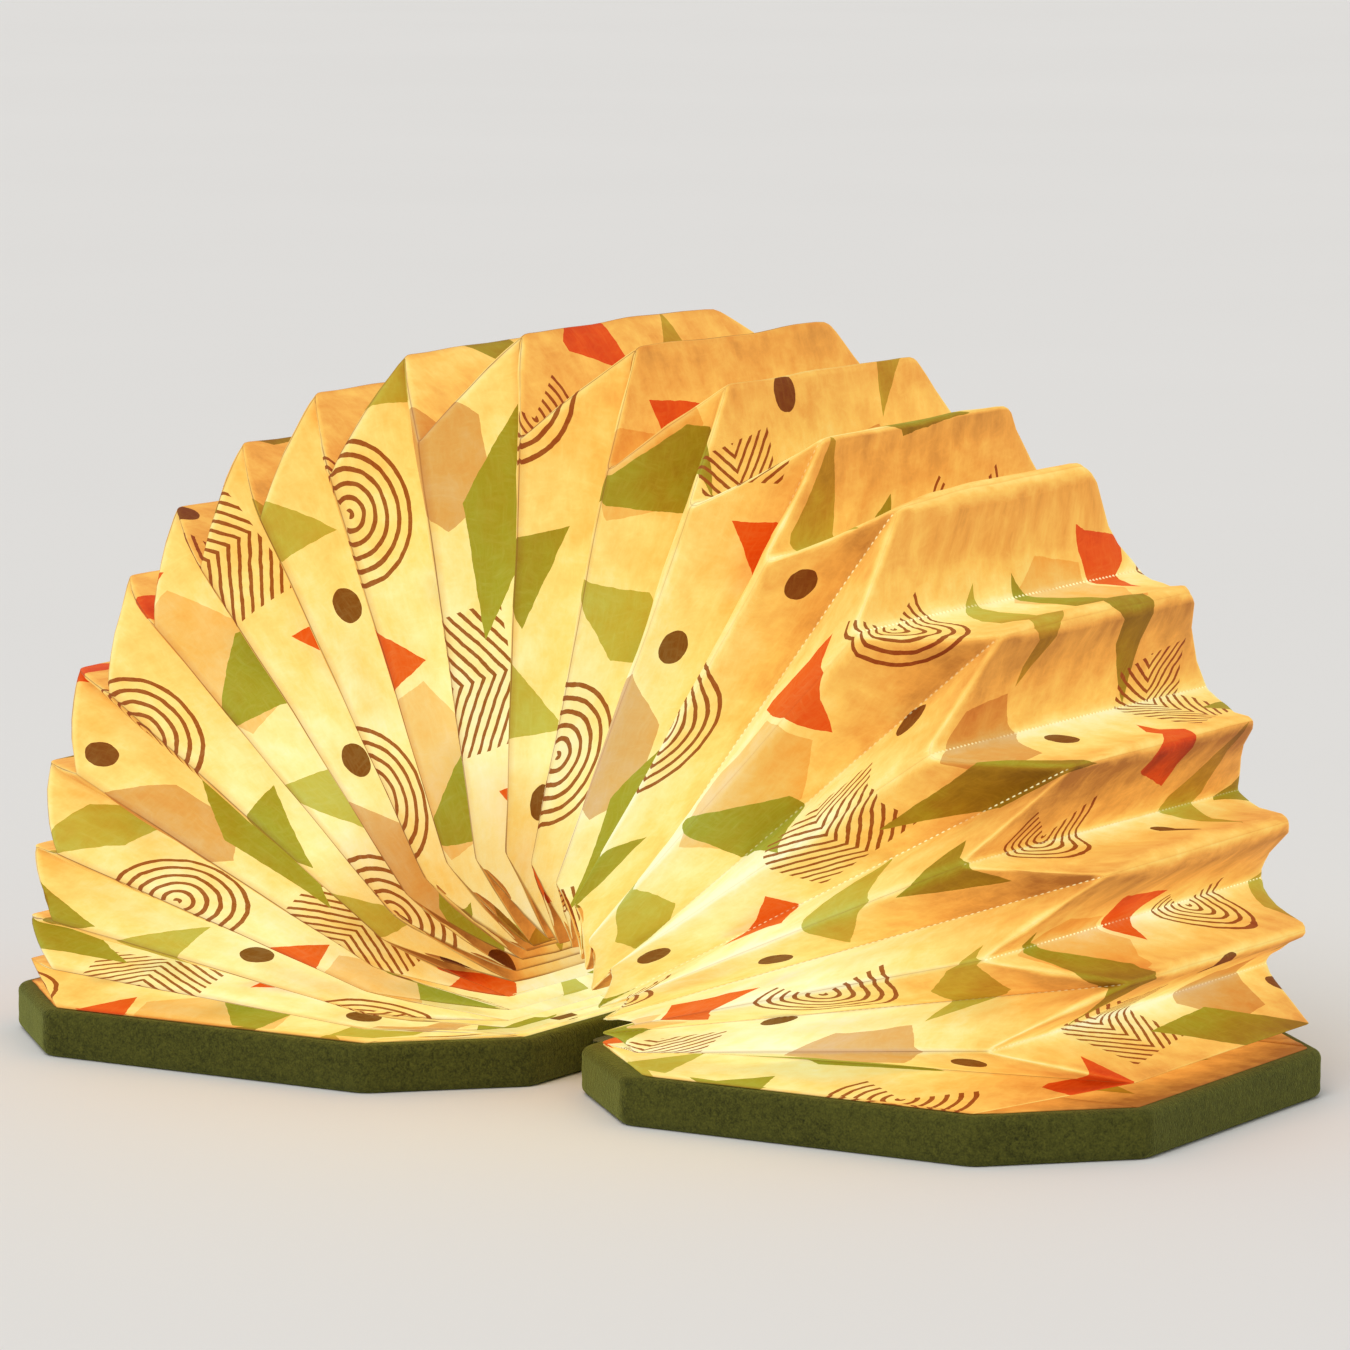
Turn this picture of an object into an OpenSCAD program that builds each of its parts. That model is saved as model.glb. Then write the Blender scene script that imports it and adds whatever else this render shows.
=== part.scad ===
// Folding book lamp: two padded cut-corner covers, joined by a cloth spine,
// that fan out a pleated paper shade and light it from inside.
//
// Millimetres. +X runs from the left cover to the right cover, +Y runs along the
// spine from the front edge to the rear edge, +Z is up. The origin is on the
// table, under the middle of the spine.
//
// A cover is drawn lying flat with its spine edge at x = 0 and its free edge at
// x = cover_length. right_cover() and left_cover() then put it in its place.

/* [Covers] */
// Length of a cover, from its spine edge to its free edge
cover_length = 210; // [195:1:230]
// Depth of a cover, along the spine
cover_depth = 206; // [196:1:226]
// Thickness of a cover with its velvet
cover_thickness = 16; // [15.5:0.1:18]
// Size of the 45 degree cut across each corner of a cover
corner_cut = 41; // [36:1:46]
// Rounding of a cover's edges, over the velvet
cover_edge = 3; // [2:0.1:3.5]
// Thickness of the velvet wrap
velvet_thickness = 1.2; // [1:0.1:1.4]
// Width of the velvet that is turned in over the inner face
velvet_turn_in = 10; // [8:0.5:12]
// Wall of the tray inside the velvet
tray_wall = 2.4; // [2:0.1:3]
// Floor of the tray
tray_floor = 2.2; // [1.8:0.1:2.6]
// Thickness of the panel that closes the tray
panel_thickness = 2; // [1.8:0.1:2.4]
// Gap all round the panel, inside the tray
panel_gap = 0.3; // [0.2:0.05:0.5]

/* [Spine] */
// Gap between the two covers when the lamp lies open
spine_gap = 18; // [17:0.5:20]
// Room left between the closed covers for the folded paper
folded_stack = 7.4; // [6.5:0.1:8.5]
// Thickness of the velvet strip along the spine
strip_thickness = 1.1; // [0.9:0.1:1.3]
// Thickness of the cloth lining over the strip
lining_thickness = 0.4; // [0.3:0.05:0.6]
// Gap between the spine's layers and the covers' edges
spine_end_gap = 0.3; // [0.2:0.05:0.5]
// How far the spine's layers stop short of the cut corners
spine_end_inset = 34; // [30:1:38]

/* [Paper shade] */
// Width of one paper panel, from a ridge crease to a valley crease
panel_width = 37.8; // [36:0.1:42]
// Gap from the paper's outline to a cover's free edge
paper_inset = 4.7; // [3:0.1:8]
// Gap from the paper's outline to a cover's front and rear edges
paper_side_inset = 4; // [3:0.5:8]
// Distance from a half fan's folding axis to the inner creases
inner_reach = 22.6; // [21.6:0.1:24]
// How far a half fan's folding axis lies beyond the middle of the spine
pole_beyond = 8.5; // [8:0.1:9]
// Thickness of the paper leaf that is glued to each cover
leaf_thickness = 0.4; // [0.3:0.05:0.6]
// Width of the paper wall, measured along the plane of a crease
wall_width = 1.6; // [1.2:0.1:2]

/* [Lights] */
// Length of a light board, away from the spine
board_length = 96; // [84:1:100]
// Width of a light board, along the spine
board_width = 76; // [64:1:80]
// Thickness of every circuit board
board_thickness = 1.6; // [1.2:0.1:1.8]
// Distance from the spine edge to a light board
board_start = 58; // [54:1:60]
// Rows of lights, away from the spine
light_rows = 5; // [3:1:6]
// Lights in a row, along the spine
lights_in_row = 4; // [3:1:5]
// Side of one square light
light_side = 5; // [3.5:0.5:5]
// Height of one light
light_height = 0.9; // [0.7:0.1:1.2]
// Length of the milky diffuser
diffuser_length = 110; // [106:1:112]
// Width of the milky diffuser
diffuser_width = 90; // [86:1:96]
// Thickness of the milky diffuser
diffuser_thickness = 1.2; // [1:0.1:1.4]
// Ledge in the panel that carries the diffuser
diffuser_ledge = 3; // [2:0.5:4]

/* [Battery and controls] */
// Length of the battery, away from the spine
battery_length = 34; // [30:1:36]
// Width of the battery, along the spine
battery_width = 60; // [50:1:64]
// Thickness of the battery
battery_thickness = 7; // [5:0.5:7.5]
// Thickness of the foam pad under the battery
pad_thickness = 0.8; // [0.5:0.1:1]
// Length of the control board, away from the spine
control_length = 46; // [40:1:50]
// Width of the control board, along the spine
control_width = 30; // [26:1:32]
// Height of the posts under the control board
post_height = 2; // [1.6:0.1:2.4]
// Width of the charging socket
socket_width = 8.9; // [8.8:0.1:9.2]
// Height of the charging socket
socket_height = 3.2; // [3.1:0.1:3.4]
// Depth of the charging socket
socket_depth = 7.3; // [6.8:0.1:7.6]
// Radius of the push button
button_radius = 3; // [2.5:0.1:3.2]
// How far the button stands out of the velvet
button_proud = 0.9; // [0.7:0.1:1.4]
// Travel of the button
button_travel = 0.5; // [0.3:0.05:0.6]
// Gap round the button in its bore
button_gap = 0.25; // [0.2:0.05:0.35]

/* [Fasteners and magnets] */
// Radius of a panel screw's shank
screw_radius = 0.95; // [0.8:0.05:1.05]
// Length of a panel screw under its head
screw_length = 6; // [5:0.5:7]
// Radius of a panel screw's head
screw_head_radius = 1.9; // [1.7:0.1:2]
// Radius of the bosses that take the screws
boss_radius = 3.2; // [3:0.1:3.6]
// Radius of a closing magnet
magnet_radius = 5; // [4:0.5:5.5]
// Thickness of a closing magnet
magnet_thickness = 2.5; // [2:0.1:3]

/* [Hidden] */
$fn = 48;

// Opening angles of the free ridge creases, from the left cover (180) to the
// right cover (0). The paper hangs unevenly, so they are chosen one by one.
RIDGE_ANGLES = [178, 174, 168, 160, 151, 141, 133, 124, 115, 105,
                93, 82, 73, 63, 54, 40, 28, 19, 10, 2];
PLEATS = len(RIDGE_ANGLES);
// Folds are counted in half pleats: even folds are ridges, odd folds valleys.
LAST_FOLD = 2 * (PLEATS + 1);
// The last fold that turns with the left half of the fan
MIDDLE_FOLD = 23;

// Heights inside a cover
tray_bottom = velvet_thickness;
tray_inside = tray_bottom + tray_floor;
tray_top = cover_thickness - velvet_thickness;
panel_bottom = tray_top - panel_thickness;
cavity_inset = velvet_thickness + tray_wall;
screw_head_height = screw_head_radius - screw_radius;

// The spine's two hinge lines, one along each cover's edge
hinge_x = spine_gap / 2;
hinge_z = cover_thickness - (spine_gap - folded_stack) / 2;
spine_clear = 0.1;
spine_half_width = cover_depth / 2 - corner_cut - spine_end_inset;
lining_top = hinge_z - spine_clear;
lining_bottom = lining_top - lining_thickness;
ribbon_thickness = 0.3;
ribbon_bottom = lining_bottom - ribbon_thickness;
ribbon_width = 10;
ribbon_slot_gap = 0.5;

// The fan of paper
leaf_top = cover_thickness + leaf_thickness;
pole_z = pole_beyond + hinge_x + hinge_z;
outer_reach = pole_beyond + hinge_x + cover_length - paper_inset;
paper_half_depth = cover_depth / 2 - paper_side_inset;
leaf_offset = pole_z - leaf_top;
pleat_radius = outer_reach - panel_width / 2;
leaf_start = inner_reach - pole_beyond - hinge_x;
leaf_end = cover_length - paper_inset;

// Where the parts sit in a cover, from its spine edge
board_middle = board_start + board_length / 2;
diffuser_clear = 0.2;
diffuser_top = tray_top;
board_end = board_start + board_length;
battery_start = (board_end + cover_length - cavity_inset - battery_length) / 2;
control_start = 66;
control_bottom = tray_inside + post_height;
control_top = control_bottom + board_thickness;
socket_x = control_start + 13;
socket_z = control_top + socket_height / 2;
socket_recess = 1.5;
socket_gap = 0.3;
button_x = control_start + 32;
button_z = control_top + 1.8;
button_flange = 0.9;
button_flange_height = 1.2;
switch_width = 6;
switch_height = 3.5;
switch_depth = 3.5;
plunger_radius = 1.6;
wall_inner_face = cover_depth / 2 - cavity_inset;
flange_face = wall_inner_face - 0.3;
cap_back = flange_face - button_flange_height;
plunger_back = cap_back - 1.3;
control_rear = cap_back - button_travel - 0.2;
switch_front = plunger_back - button_travel - 0.05;
post_radius = 2;
screw_from_spine = 22;
screw_from_free_edge = 32;
screw_from_side = 42;
screw_side = cover_depth / 2 - screw_from_side;
screw_spots = [for (x = [screw_from_spine, cover_length - screw_from_free_edge],
                    y = [screw_side, -screw_side]) [x, y]];
magnet_from_free_edge = 15;
magnet_from_battery = 14;
magnet_spots = [for (side = [1, -1])
    [cover_length - magnet_from_free_edge, side * (battery_width / 2 + magnet_from_battery)]];
magnet_pocket_wall = 1.5;
magnet_gap = 0.1;
pilot_gap = 0.05;
lead_width = 1.4;
lead_height = 1.2;
lead_pitch = 3;
lead_from_free_edge = 26.8;

// ---------------------------------------------------------------- placing

module right_cover() {
    translate([hinge_x, 0, 0]) children();
}

module left_cover() {
    mirror([1, 0, 0]) translate([hinge_x, 0, 0]) children();
}

// ---------------------------------------------------------------- outlines

// A rectangle from x = start to x = end with its corners cut off
module cut_corner_outline(start, end, half_width, cut) {
    polygon([
        [start + cut, -half_width], [end - cut, -half_width],
        [end, cut - half_width], [end, half_width - cut],
        [end - cut, half_width], [start + cut, half_width],
        [start, half_width - cut], [start, cut - half_width]
    ]);
}

// A cover's outline, moved inwards by inset on every side
module cover_outline(inset) {
    cut_corner_outline(inset, cover_length - inset, cover_depth / 2 - inset,
                       corner_cut - inset * (2 - sqrt(2)));
}

// A slab on the cover's outline whose edges are rounded by edge
module soft_slab(inset, bottom, top, edge) {
    slice = 0.01;
    steps = [0, 30, 60, 90];
    hull() {
        for (turn = steps) {
            shrink = inset + edge * (1 - sin(turn));
            rise = edge * (1 - cos(turn));
            translate([0, 0, bottom + rise]) linear_extrude(slice) cover_outline(shrink);
            translate([0, 0, top - rise - slice]) linear_extrude(slice) cover_outline(shrink);
        }
    }
}

module plate(x, y, z, size) {
    translate([x, y, z]) cube(size);
}

// ---------------------------------------------------------------- covers

module tray_solid() {
    soft_slab(velvet_thickness, tray_bottom, tray_top, cover_edge - velvet_thickness);
}

// The slot through the spine edge that the ribbon passes
module ribbon_slot() {
    half = ribbon_width / 2 + ribbon_slot_gap;
    plate(-1, -half, ribbon_bottom - ribbon_slot_gap,
          [cavity_inset + 2, 2 * half, ribbon_thickness + 2 * ribbon_slot_gap]);
}

// The openings in the rear edge for the charging socket and the button
module rear_openings() {
    through = cavity_inset + 2;
    plate(socket_x - socket_width / 2 - socket_gap, wall_inner_face - 1,
          socket_z - socket_height / 2 - socket_gap,
          [socket_width + 2 * socket_gap, through, socket_height + 2 * socket_gap]);
    translate([button_x, wall_inner_face - 1, button_z]) rotate([-90, 0, 0])
        cylinder(h = through, r = button_radius + button_gap);
}

module cover_velvet() {
    difference() {
        soft_slab(0, 0, cover_thickness, cover_edge);
        tray_solid();
        translate([0, 0, tray_top - 1]) linear_extrude(velvet_thickness + 2)
            cover_outline(velvet_turn_in);
        ribbon_slot();
    }
}

module cover_tray() {
    difference() {
        union() {
            difference() {
                tray_solid();
                translate([0, 0, tray_inside]) linear_extrude(cover_thickness)
                    cover_outline(cavity_inset);
            }
            for (spot = screw_spots)
                translate([spot[0], spot[1], tray_inside - 0.5])
                    cylinder(h = panel_bottom - tray_inside + 0.5, r = boss_radius);
            for (spot = magnet_spots)
                translate([spot[0], spot[1], tray_inside - 0.5])
                    cylinder(h = panel_bottom - tray_inside + 0.5,
                             r = magnet_radius + magnet_gap + magnet_pocket_wall);
        }
        for (spot = screw_spots)
            translate([spot[0], spot[1], panel_bottom + panel_thickness - screw_length - 1])
                cylinder(h = screw_length + 1, r = screw_radius + pilot_gap);
        for (spot = magnet_spots)
            translate([spot[0], spot[1], panel_bottom - magnet_thickness - magnet_gap])
                cylinder(h = magnet_thickness + 1, r = magnet_radius + magnet_gap);
        ribbon_slot();
    }
}

module cover_velvet_left() {
    color("darkolivegreen") left_cover() difference() {
        cover_velvet();
        rear_openings();
    }
}

module cover_velvet_right() {
    color("darkolivegreen") right_cover() cover_velvet();
}

// Posts for the control board, which only the left cover holds
module control_posts() {
    inset = post_radius + 0.5;
    for (x = [control_start + inset, control_start + control_length - inset],
         y = [control_rear - control_width + inset, control_rear - inset])
        translate([x, y, tray_inside - 0.5]) cylinder(h = post_height + 0.5, r = post_radius);
}

module cover_tray_left() {
    color("dimgray") left_cover() difference() {
        union() {
            cover_tray();
            control_posts();
        }
        rear_openings();
    }
}

module cover_tray_right() {
    color("dimgray") right_cover() cover_tray();
}

module inner_panel() {
    window_length = diffuser_length + 2 * diffuser_clear;
    window_width = diffuser_width + 2 * diffuser_clear;
    difference() {
        translate([0, 0, panel_bottom]) linear_extrude(panel_thickness)
            cover_outline(cavity_inset + panel_gap);
        plate(board_middle - window_length / 2, -window_width / 2,
              diffuser_top - diffuser_thickness, [window_length, window_width, 10]);
        plate(board_middle - window_length / 2 + diffuser_ledge,
              diffuser_ledge - window_width / 2, panel_bottom - 1,
              [window_length - 2 * diffuser_ledge, window_width - 2 * diffuser_ledge, 10]);
        for (spot = screw_spots) translate([spot[0], spot[1], 0]) {
            translate([0, 0, panel_bottom - 1]) cylinder(h = 5, r = screw_radius + 0.15);
            translate([0, 0, tray_top - screw_head_height])
                cylinder(h = screw_head_height, r1 = screw_radius + 0.15,
                         r2 = screw_head_radius + 0.15);
        }
    }
}

module inner_panel_left() {
    color("ivory") left_cover() inner_panel();
}

module inner_panel_right() {
    color("ivory") right_cover() inner_panel();
}

module panel_screws() {
    for (spot = screw_spots) translate([spot[0], spot[1], tray_top]) {
        translate([0, 0, -screw_head_height])
            cylinder(h = screw_head_height, r1 = screw_radius, r2 = screw_head_radius);
        translate([0, 0, -screw_length])
            cylinder(h = screw_length - screw_head_height + 0.1, r = screw_radius);
    }
}

module panel_screws_left() {
    color("silver") left_cover() panel_screws();
}

module panel_screws_right() {
    color("silver") right_cover() panel_screws();
}

module magnets() {
    for (spot = magnet_spots)
        translate([spot[0], spot[1], panel_bottom - magnet_thickness - magnet_gap])
            cylinder(h = magnet_thickness, r = magnet_radius);
}

module magnets_left() {
    color("lightgray") left_cover() magnets();
}

module magnets_right() {
    color("lightgray") right_cover() magnets();
}

// ---------------------------------------------------------------- lights

module light_board() {
    plate(board_start, -board_width / 2, tray_inside,
          [board_length, board_width, board_thickness]);
}

module light_board_left() {
    color("white") left_cover() light_board();
}

module light_board_right() {
    color("white") right_cover() light_board();
}

module lights() {
    pitch_x = board_length / light_rows;
    pitch_y = board_width / lights_in_row;
    for (row = [0 : light_rows - 1], column = [0 : lights_in_row - 1])
        plate(board_start + pitch_x * (row + 0.5) - light_side / 2,
              pitch_y * (column + 0.5) - board_width / 2 - light_side / 2,
              tray_inside + board_thickness, [light_side, light_side, light_height]);
}

module lights_left() {
    color("khaki") left_cover() lights();
}

module lights_right() {
    color("khaki") right_cover() lights();
}

module diffuser() {
    plate(board_middle - diffuser_length / 2, -diffuser_width / 2,
          diffuser_top - diffuser_thickness,
          [diffuser_length, diffuser_width, diffuser_thickness]);
}

module diffuser_left() {
    color("white") left_cover() diffuser();
}

module diffuser_right() {
    color("white") right_cover() diffuser();
}

// ---------------------------------------------------------------- battery and controls

module battery_pad() {
    color("black") left_cover()
        plate(battery_start + 2, 2 - battery_width / 2, tray_inside,
              [battery_length - 4, battery_width - 4, pad_thickness]);
}

module battery() {
    color("silver") left_cover()
        plate(battery_start, -battery_width / 2, tray_inside + pad_thickness,
              [battery_length, battery_width, battery_thickness]);
}

module control_board() {
    color("seagreen") left_cover()
        plate(control_start, control_rear - control_width, control_bottom,
              [control_length, control_width, board_thickness]);
}

// A metal shell with rounded sides, open towards the rear, round a flat tongue
module charging_socket() {
    mouth = cover_depth / 2 - socket_recess;
    shell = 0.3;
    tongue = 0.7;
    color("silver") left_cover() translate([socket_x, mouth, socket_z]) rotate([90, 0, 0]) {
        difference() {
            linear_extrude(socket_depth) socket_outline(0);
            translate([0, 0, -1]) linear_extrude(socket_depth) socket_outline(shell);
        }
        translate([1.2 - socket_width / 2, -tongue / 2, 1])
            cube([socket_width - 2.4, tongue, socket_depth - 1.5]);
    }
}

module socket_outline(inset) {
    radius = socket_height / 2 - inset;
    middle = socket_width / 2 - socket_height / 2;
    union() {
        translate([-middle, 0]) circle(r = radius);
        translate([middle, 0]) circle(r = radius);
        translate([-middle, -radius]) square([2 * middle, 2 * radius]);
    }
}

module switch_body() {
    color("black") left_cover()
        plate(button_x - switch_width / 2, switch_front - switch_depth, control_top,
              [switch_width, switch_depth, switch_height]);
}

module switch_plunger() {
    color("white") left_cover()
        translate([button_x, plunger_back, button_z]) rotate([-90, 0, 0])
            cylinder(h = cap_back - plunger_back, r = plunger_radius);
}

module button_cap() {
    color("gray") left_cover() translate([button_x, cap_back, button_z]) rotate([-90, 0, 0]) {
        cylinder(h = button_flange_height, r = button_radius + button_flange);
        cylinder(h = cover_depth / 2 + button_proud - cap_back, r = button_radius);
    }
}

// A flat lead along a list of points, lying on the tray's floor. Each run goes
// straight along X or Y.
module lead(points) {
    union() for (i = [1 : len(points) - 1]) {
        from = points[i - 1];
        to = points[i];
        plate(min(from[0], to[0]) - lead_width / 2, min(from[1], to[1]) - lead_width / 2,
              tray_inside, [abs(to[0] - from[0]) + lead_width,
                            abs(to[1] - from[1]) + lead_width, lead_height]);
    }
}

// From the battery's rear side, between a screw's boss and a magnet's pocket, and
// then behind the boss to the control board
module battery_leads() {
    board_edge = control_start + control_length;
    battery_side = battery_width / 2 + lead_width / 2;
    color("firebrick") left_cover() for (i = [0, 1]) {
        x = cover_length - lead_from_free_edge + i * lead_pitch;
        rear = control_rear - control_width + 2.5 + i * lead_pitch;
        lead([[x, battery_side], [x, rear], [board_edge + lead_width, rear]]);
    }
}

module light_leads() {
    control_edge = control_rear - control_width - lead_width / 2;
    board_edge = board_width / 2 + lead_width / 2;
    color("firebrick") left_cover() for (i = [0, 1]) {
        x = control_start + 20 + i * lead_pitch;
        lead([[x, board_edge], [x, control_edge]]);
    }
}

// ---------------------------------------------------------------- spine

// The flat ribbon, from a light board up to the slot in the spine edge
module ribbon_in_cover() {
    rise_start = board_start - 4;
    rise_end = cavity_inset + 4;
    low = tray_inside + board_thickness;
    color("darkorange") rotate([90, 0, 0]) translate([0, 0, -ribbon_width / 2])
        linear_extrude(ribbon_width) polygon([
            [spine_end_gap, ribbon_bottom], [rise_end, ribbon_bottom],
            [rise_start, low], [board_start + 6, low],
            [board_start + 6, low + ribbon_thickness],
            [rise_start, low + ribbon_thickness],
            [rise_end, ribbon_bottom + ribbon_thickness],
            [spine_end_gap, ribbon_bottom + ribbon_thickness]
        ]);
}

module ribbon_left() {
    left_cover() ribbon_in_cover();
}

module ribbon_right() {
    right_cover() ribbon_in_cover();
}

module spine_layer(bottom, thickness, half_width) {
    half_length = hinge_x - spine_end_gap;
    plate(-half_length, -half_width, bottom, [2 * half_length, 2 * half_width, thickness]);
}

module ribbon_spine() {
    color("darkorange") spine_layer(ribbon_bottom, ribbon_thickness, ribbon_width / 2);
}

module spine_strip() {
    color("darkolivegreen")
        spine_layer(ribbon_bottom - strip_thickness, strip_thickness, spine_half_width);
}

module spine_lining() {
    color("olive") spine_layer(lining_bottom, lining_thickness, spine_half_width);
}

// ---------------------------------------------------------------- paper shade

// The paper leaf that is glued to a cover: a cut-corner frame
module end_leaf() {
    color("moccasin") translate([0, 0, cover_thickness]) linear_extrude(leaf_thickness)
        difference() {
            cut_corner_outline(leaf_start, leaf_end, paper_half_depth, panel_width);
            translate([leaf_start + panel_width, panel_width - paper_half_depth])
                square([leaf_end - leaf_start - 2 * panel_width,
                        2 * (paper_half_depth - panel_width)]);
        }
}

module end_leaf_left() {
    left_cover() end_leaf();
}

module end_leaf_right() {
    right_cover() end_leaf();
}

function ridge_angle(ridge) =
    ridge < 1 ? 180 : ridge > PLEATS ? 0 : RIDGE_ANGLES[ridge - 1];

// The opening angle of a fold. Folds 1 and LAST_FOLD - 1 lie on the end leaves.
function fold_angle(fold) =
    fold <= 1 ? 180
    : fold >= LAST_FOLD - 1 ? 0
    : fold % 2 == 0 ? ridge_angle(fold / 2)
    : (ridge_angle((fold - 1) / 2) + ridge_angle((fold + 1) / 2)) / 2;

// How deep the paper is folded there: the more a pleat opens, the shallower it is
function fold_depth(fold) =
    let (half_spread = (fold_angle(fold - 1) - fold_angle(fold + 1)) / 2 * PI / 180 * pleat_radius)
    sqrt(panel_width * panel_width - half_spread * half_spread);

// A point of a fold's plane, at a distance along it from its half fan's folding axis
function fold_point(fold, along, y) =
    let (left = fold <= MIDDLE_FOLD)
    let (angle = left ? fold_angle(fold) : 180 - fold_angle(fold))
    let (share = (180 - angle) / 90)
    let (offset = leaf_offset + (pole_beyond - leaf_offset) * share)
    let (x = pole_beyond + along * cos(angle) - offset * sin(angle))
    let (z = pole_z + along * sin(angle) + offset * cos(angle))
    [left ? x : -x, y, z];

// The four corners of the paper at a fold, moved inwards by inset
function fold_loop(fold, inset) =
    let (depth = fold_depth(fold))
    let (pull = fold % 2 == 0 ? 0 : depth)
    let (outer = outer_reach - pull - inset)
    let (inner = inner_reach + pull + inset)
    let (half = paper_half_depth - (fold % 2 == 0 ? depth : 0) - inset)
    [fold_point(fold, outer, -half), fold_point(fold, outer, half),
     fold_point(fold, inner, half), fold_point(fold, inner, -half)];

// A four-cornered panel as two triangles. The front and rear panels twist, so all
// their skins are split from the fold's outer end to the next fold's inner end.
function panel(from, to, side) =
    let (next = (side + 1) % 4)
    side == 3 ? [[from + side, from + next, to + side], [from + next, to + next, to + side]]
    : [[from + side, from + next, to + next], [from + side, to + next, to + side]];

function turned_over(triangles) = [for (t = triangles) [t[2], t[1], t[0]]];

// One pleat: a ring of paper from a valley over a ridge to the next valley
module pleat(ridge) {
    folds = [2 * ridge - 1, 2 * ridge, 2 * ridge + 1];
    points = [for (fold = folds, inset = [0, wall_width]) each fold_loop(fold, inset)];
    faces = concat(
        [for (from = [0, 8], side = [0 : 3]) each panel(from, from + 8, side)],
        [for (from = [4, 12], side = [0 : 3]) each turned_over(panel(from, from + 8, side))],
        [for (side = [0 : 3]) each turned_over(panel(0, 4, side))],
        [for (side = [0 : 3]) each panel(16, 20, side)]
    );
    color("moccasin") polyhedron(points = points, faces = faces);
}

// ---------------------------------------------------------------- the whole lamp

cover_velvet_left();
cover_velvet_right();
cover_tray_left();
cover_tray_right();
inner_panel_left();
inner_panel_right();
panel_screws_left();
panel_screws_right();
magnets_left();
magnets_right();
light_board_left();
light_board_right();
lights_left();
lights_right();
diffuser_left();
diffuser_right();
battery();
battery_pad();
control_board();
charging_socket();
switch_body();
switch_plunger();
button_cap();
battery_leads();
light_leads();
ribbon_left();
ribbon_right();
ribbon_spine();
spine_strip();
spine_lining();
end_leaf_left();
end_leaf_right();
pleat(1);  // pleat_01
pleat(2);  // pleat_02
pleat(3);  // pleat_03
pleat(4);  // pleat_04
pleat(5);  // pleat_05
pleat(6);  // pleat_06
pleat(7);  // pleat_07
pleat(8);  // pleat_08
pleat(9);  // pleat_09
pleat(10);  // pleat_10
pleat(11);  // pleat_11
pleat(12);  // pleat_12
pleat(13);  // pleat_13
pleat(14);  // pleat_14
pleat(15);  // pleat_15
pleat(16);  // pleat_16
pleat(17);  // pleat_17
pleat(18);  // pleat_18
pleat(19);  // pleat_19
pleat(20);  // pleat_20
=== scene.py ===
# %% [markdown]
# # A lamp that opens like a book
# Two velvet covers fan out a long zigzag of printed paper, and lights inside the
# covers make the paper glow. The CAD model gives every solid its place, so this
# script starts by loading that model and dresses it: new meshes for what is soft
# or folded, and finishes for everything.

# %% Load the fixed frame
import math
import random

import bpy
import numpy as np
from mathutils import Matrix, Vector


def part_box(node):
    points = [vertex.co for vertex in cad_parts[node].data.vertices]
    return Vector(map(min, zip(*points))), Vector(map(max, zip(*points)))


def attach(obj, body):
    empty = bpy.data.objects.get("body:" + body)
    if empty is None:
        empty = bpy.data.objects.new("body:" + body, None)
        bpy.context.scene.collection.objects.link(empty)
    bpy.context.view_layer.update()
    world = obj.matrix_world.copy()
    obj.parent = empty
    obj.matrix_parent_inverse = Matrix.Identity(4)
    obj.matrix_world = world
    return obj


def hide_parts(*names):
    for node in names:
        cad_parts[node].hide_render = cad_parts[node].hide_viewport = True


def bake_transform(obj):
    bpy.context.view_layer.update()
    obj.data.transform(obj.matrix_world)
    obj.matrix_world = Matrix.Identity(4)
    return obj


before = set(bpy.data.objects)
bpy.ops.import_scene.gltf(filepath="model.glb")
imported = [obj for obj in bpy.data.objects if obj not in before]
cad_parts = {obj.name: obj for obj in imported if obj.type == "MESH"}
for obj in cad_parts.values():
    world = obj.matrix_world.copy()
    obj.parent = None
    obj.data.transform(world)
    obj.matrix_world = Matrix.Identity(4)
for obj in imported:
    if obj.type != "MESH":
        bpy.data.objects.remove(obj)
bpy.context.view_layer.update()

MM = 0.001

# %% [markdown]
# ## Two helpers
# A finish is a graph of nodes. Clicking it together is fine for one material, but
# this lamp has many, so a small helper adds a node, sets it and joins it in one
# line. A number goes into a socket as its value, and another node's output is
# linked to it. A second helper makes a piece from a grid of points.

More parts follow.
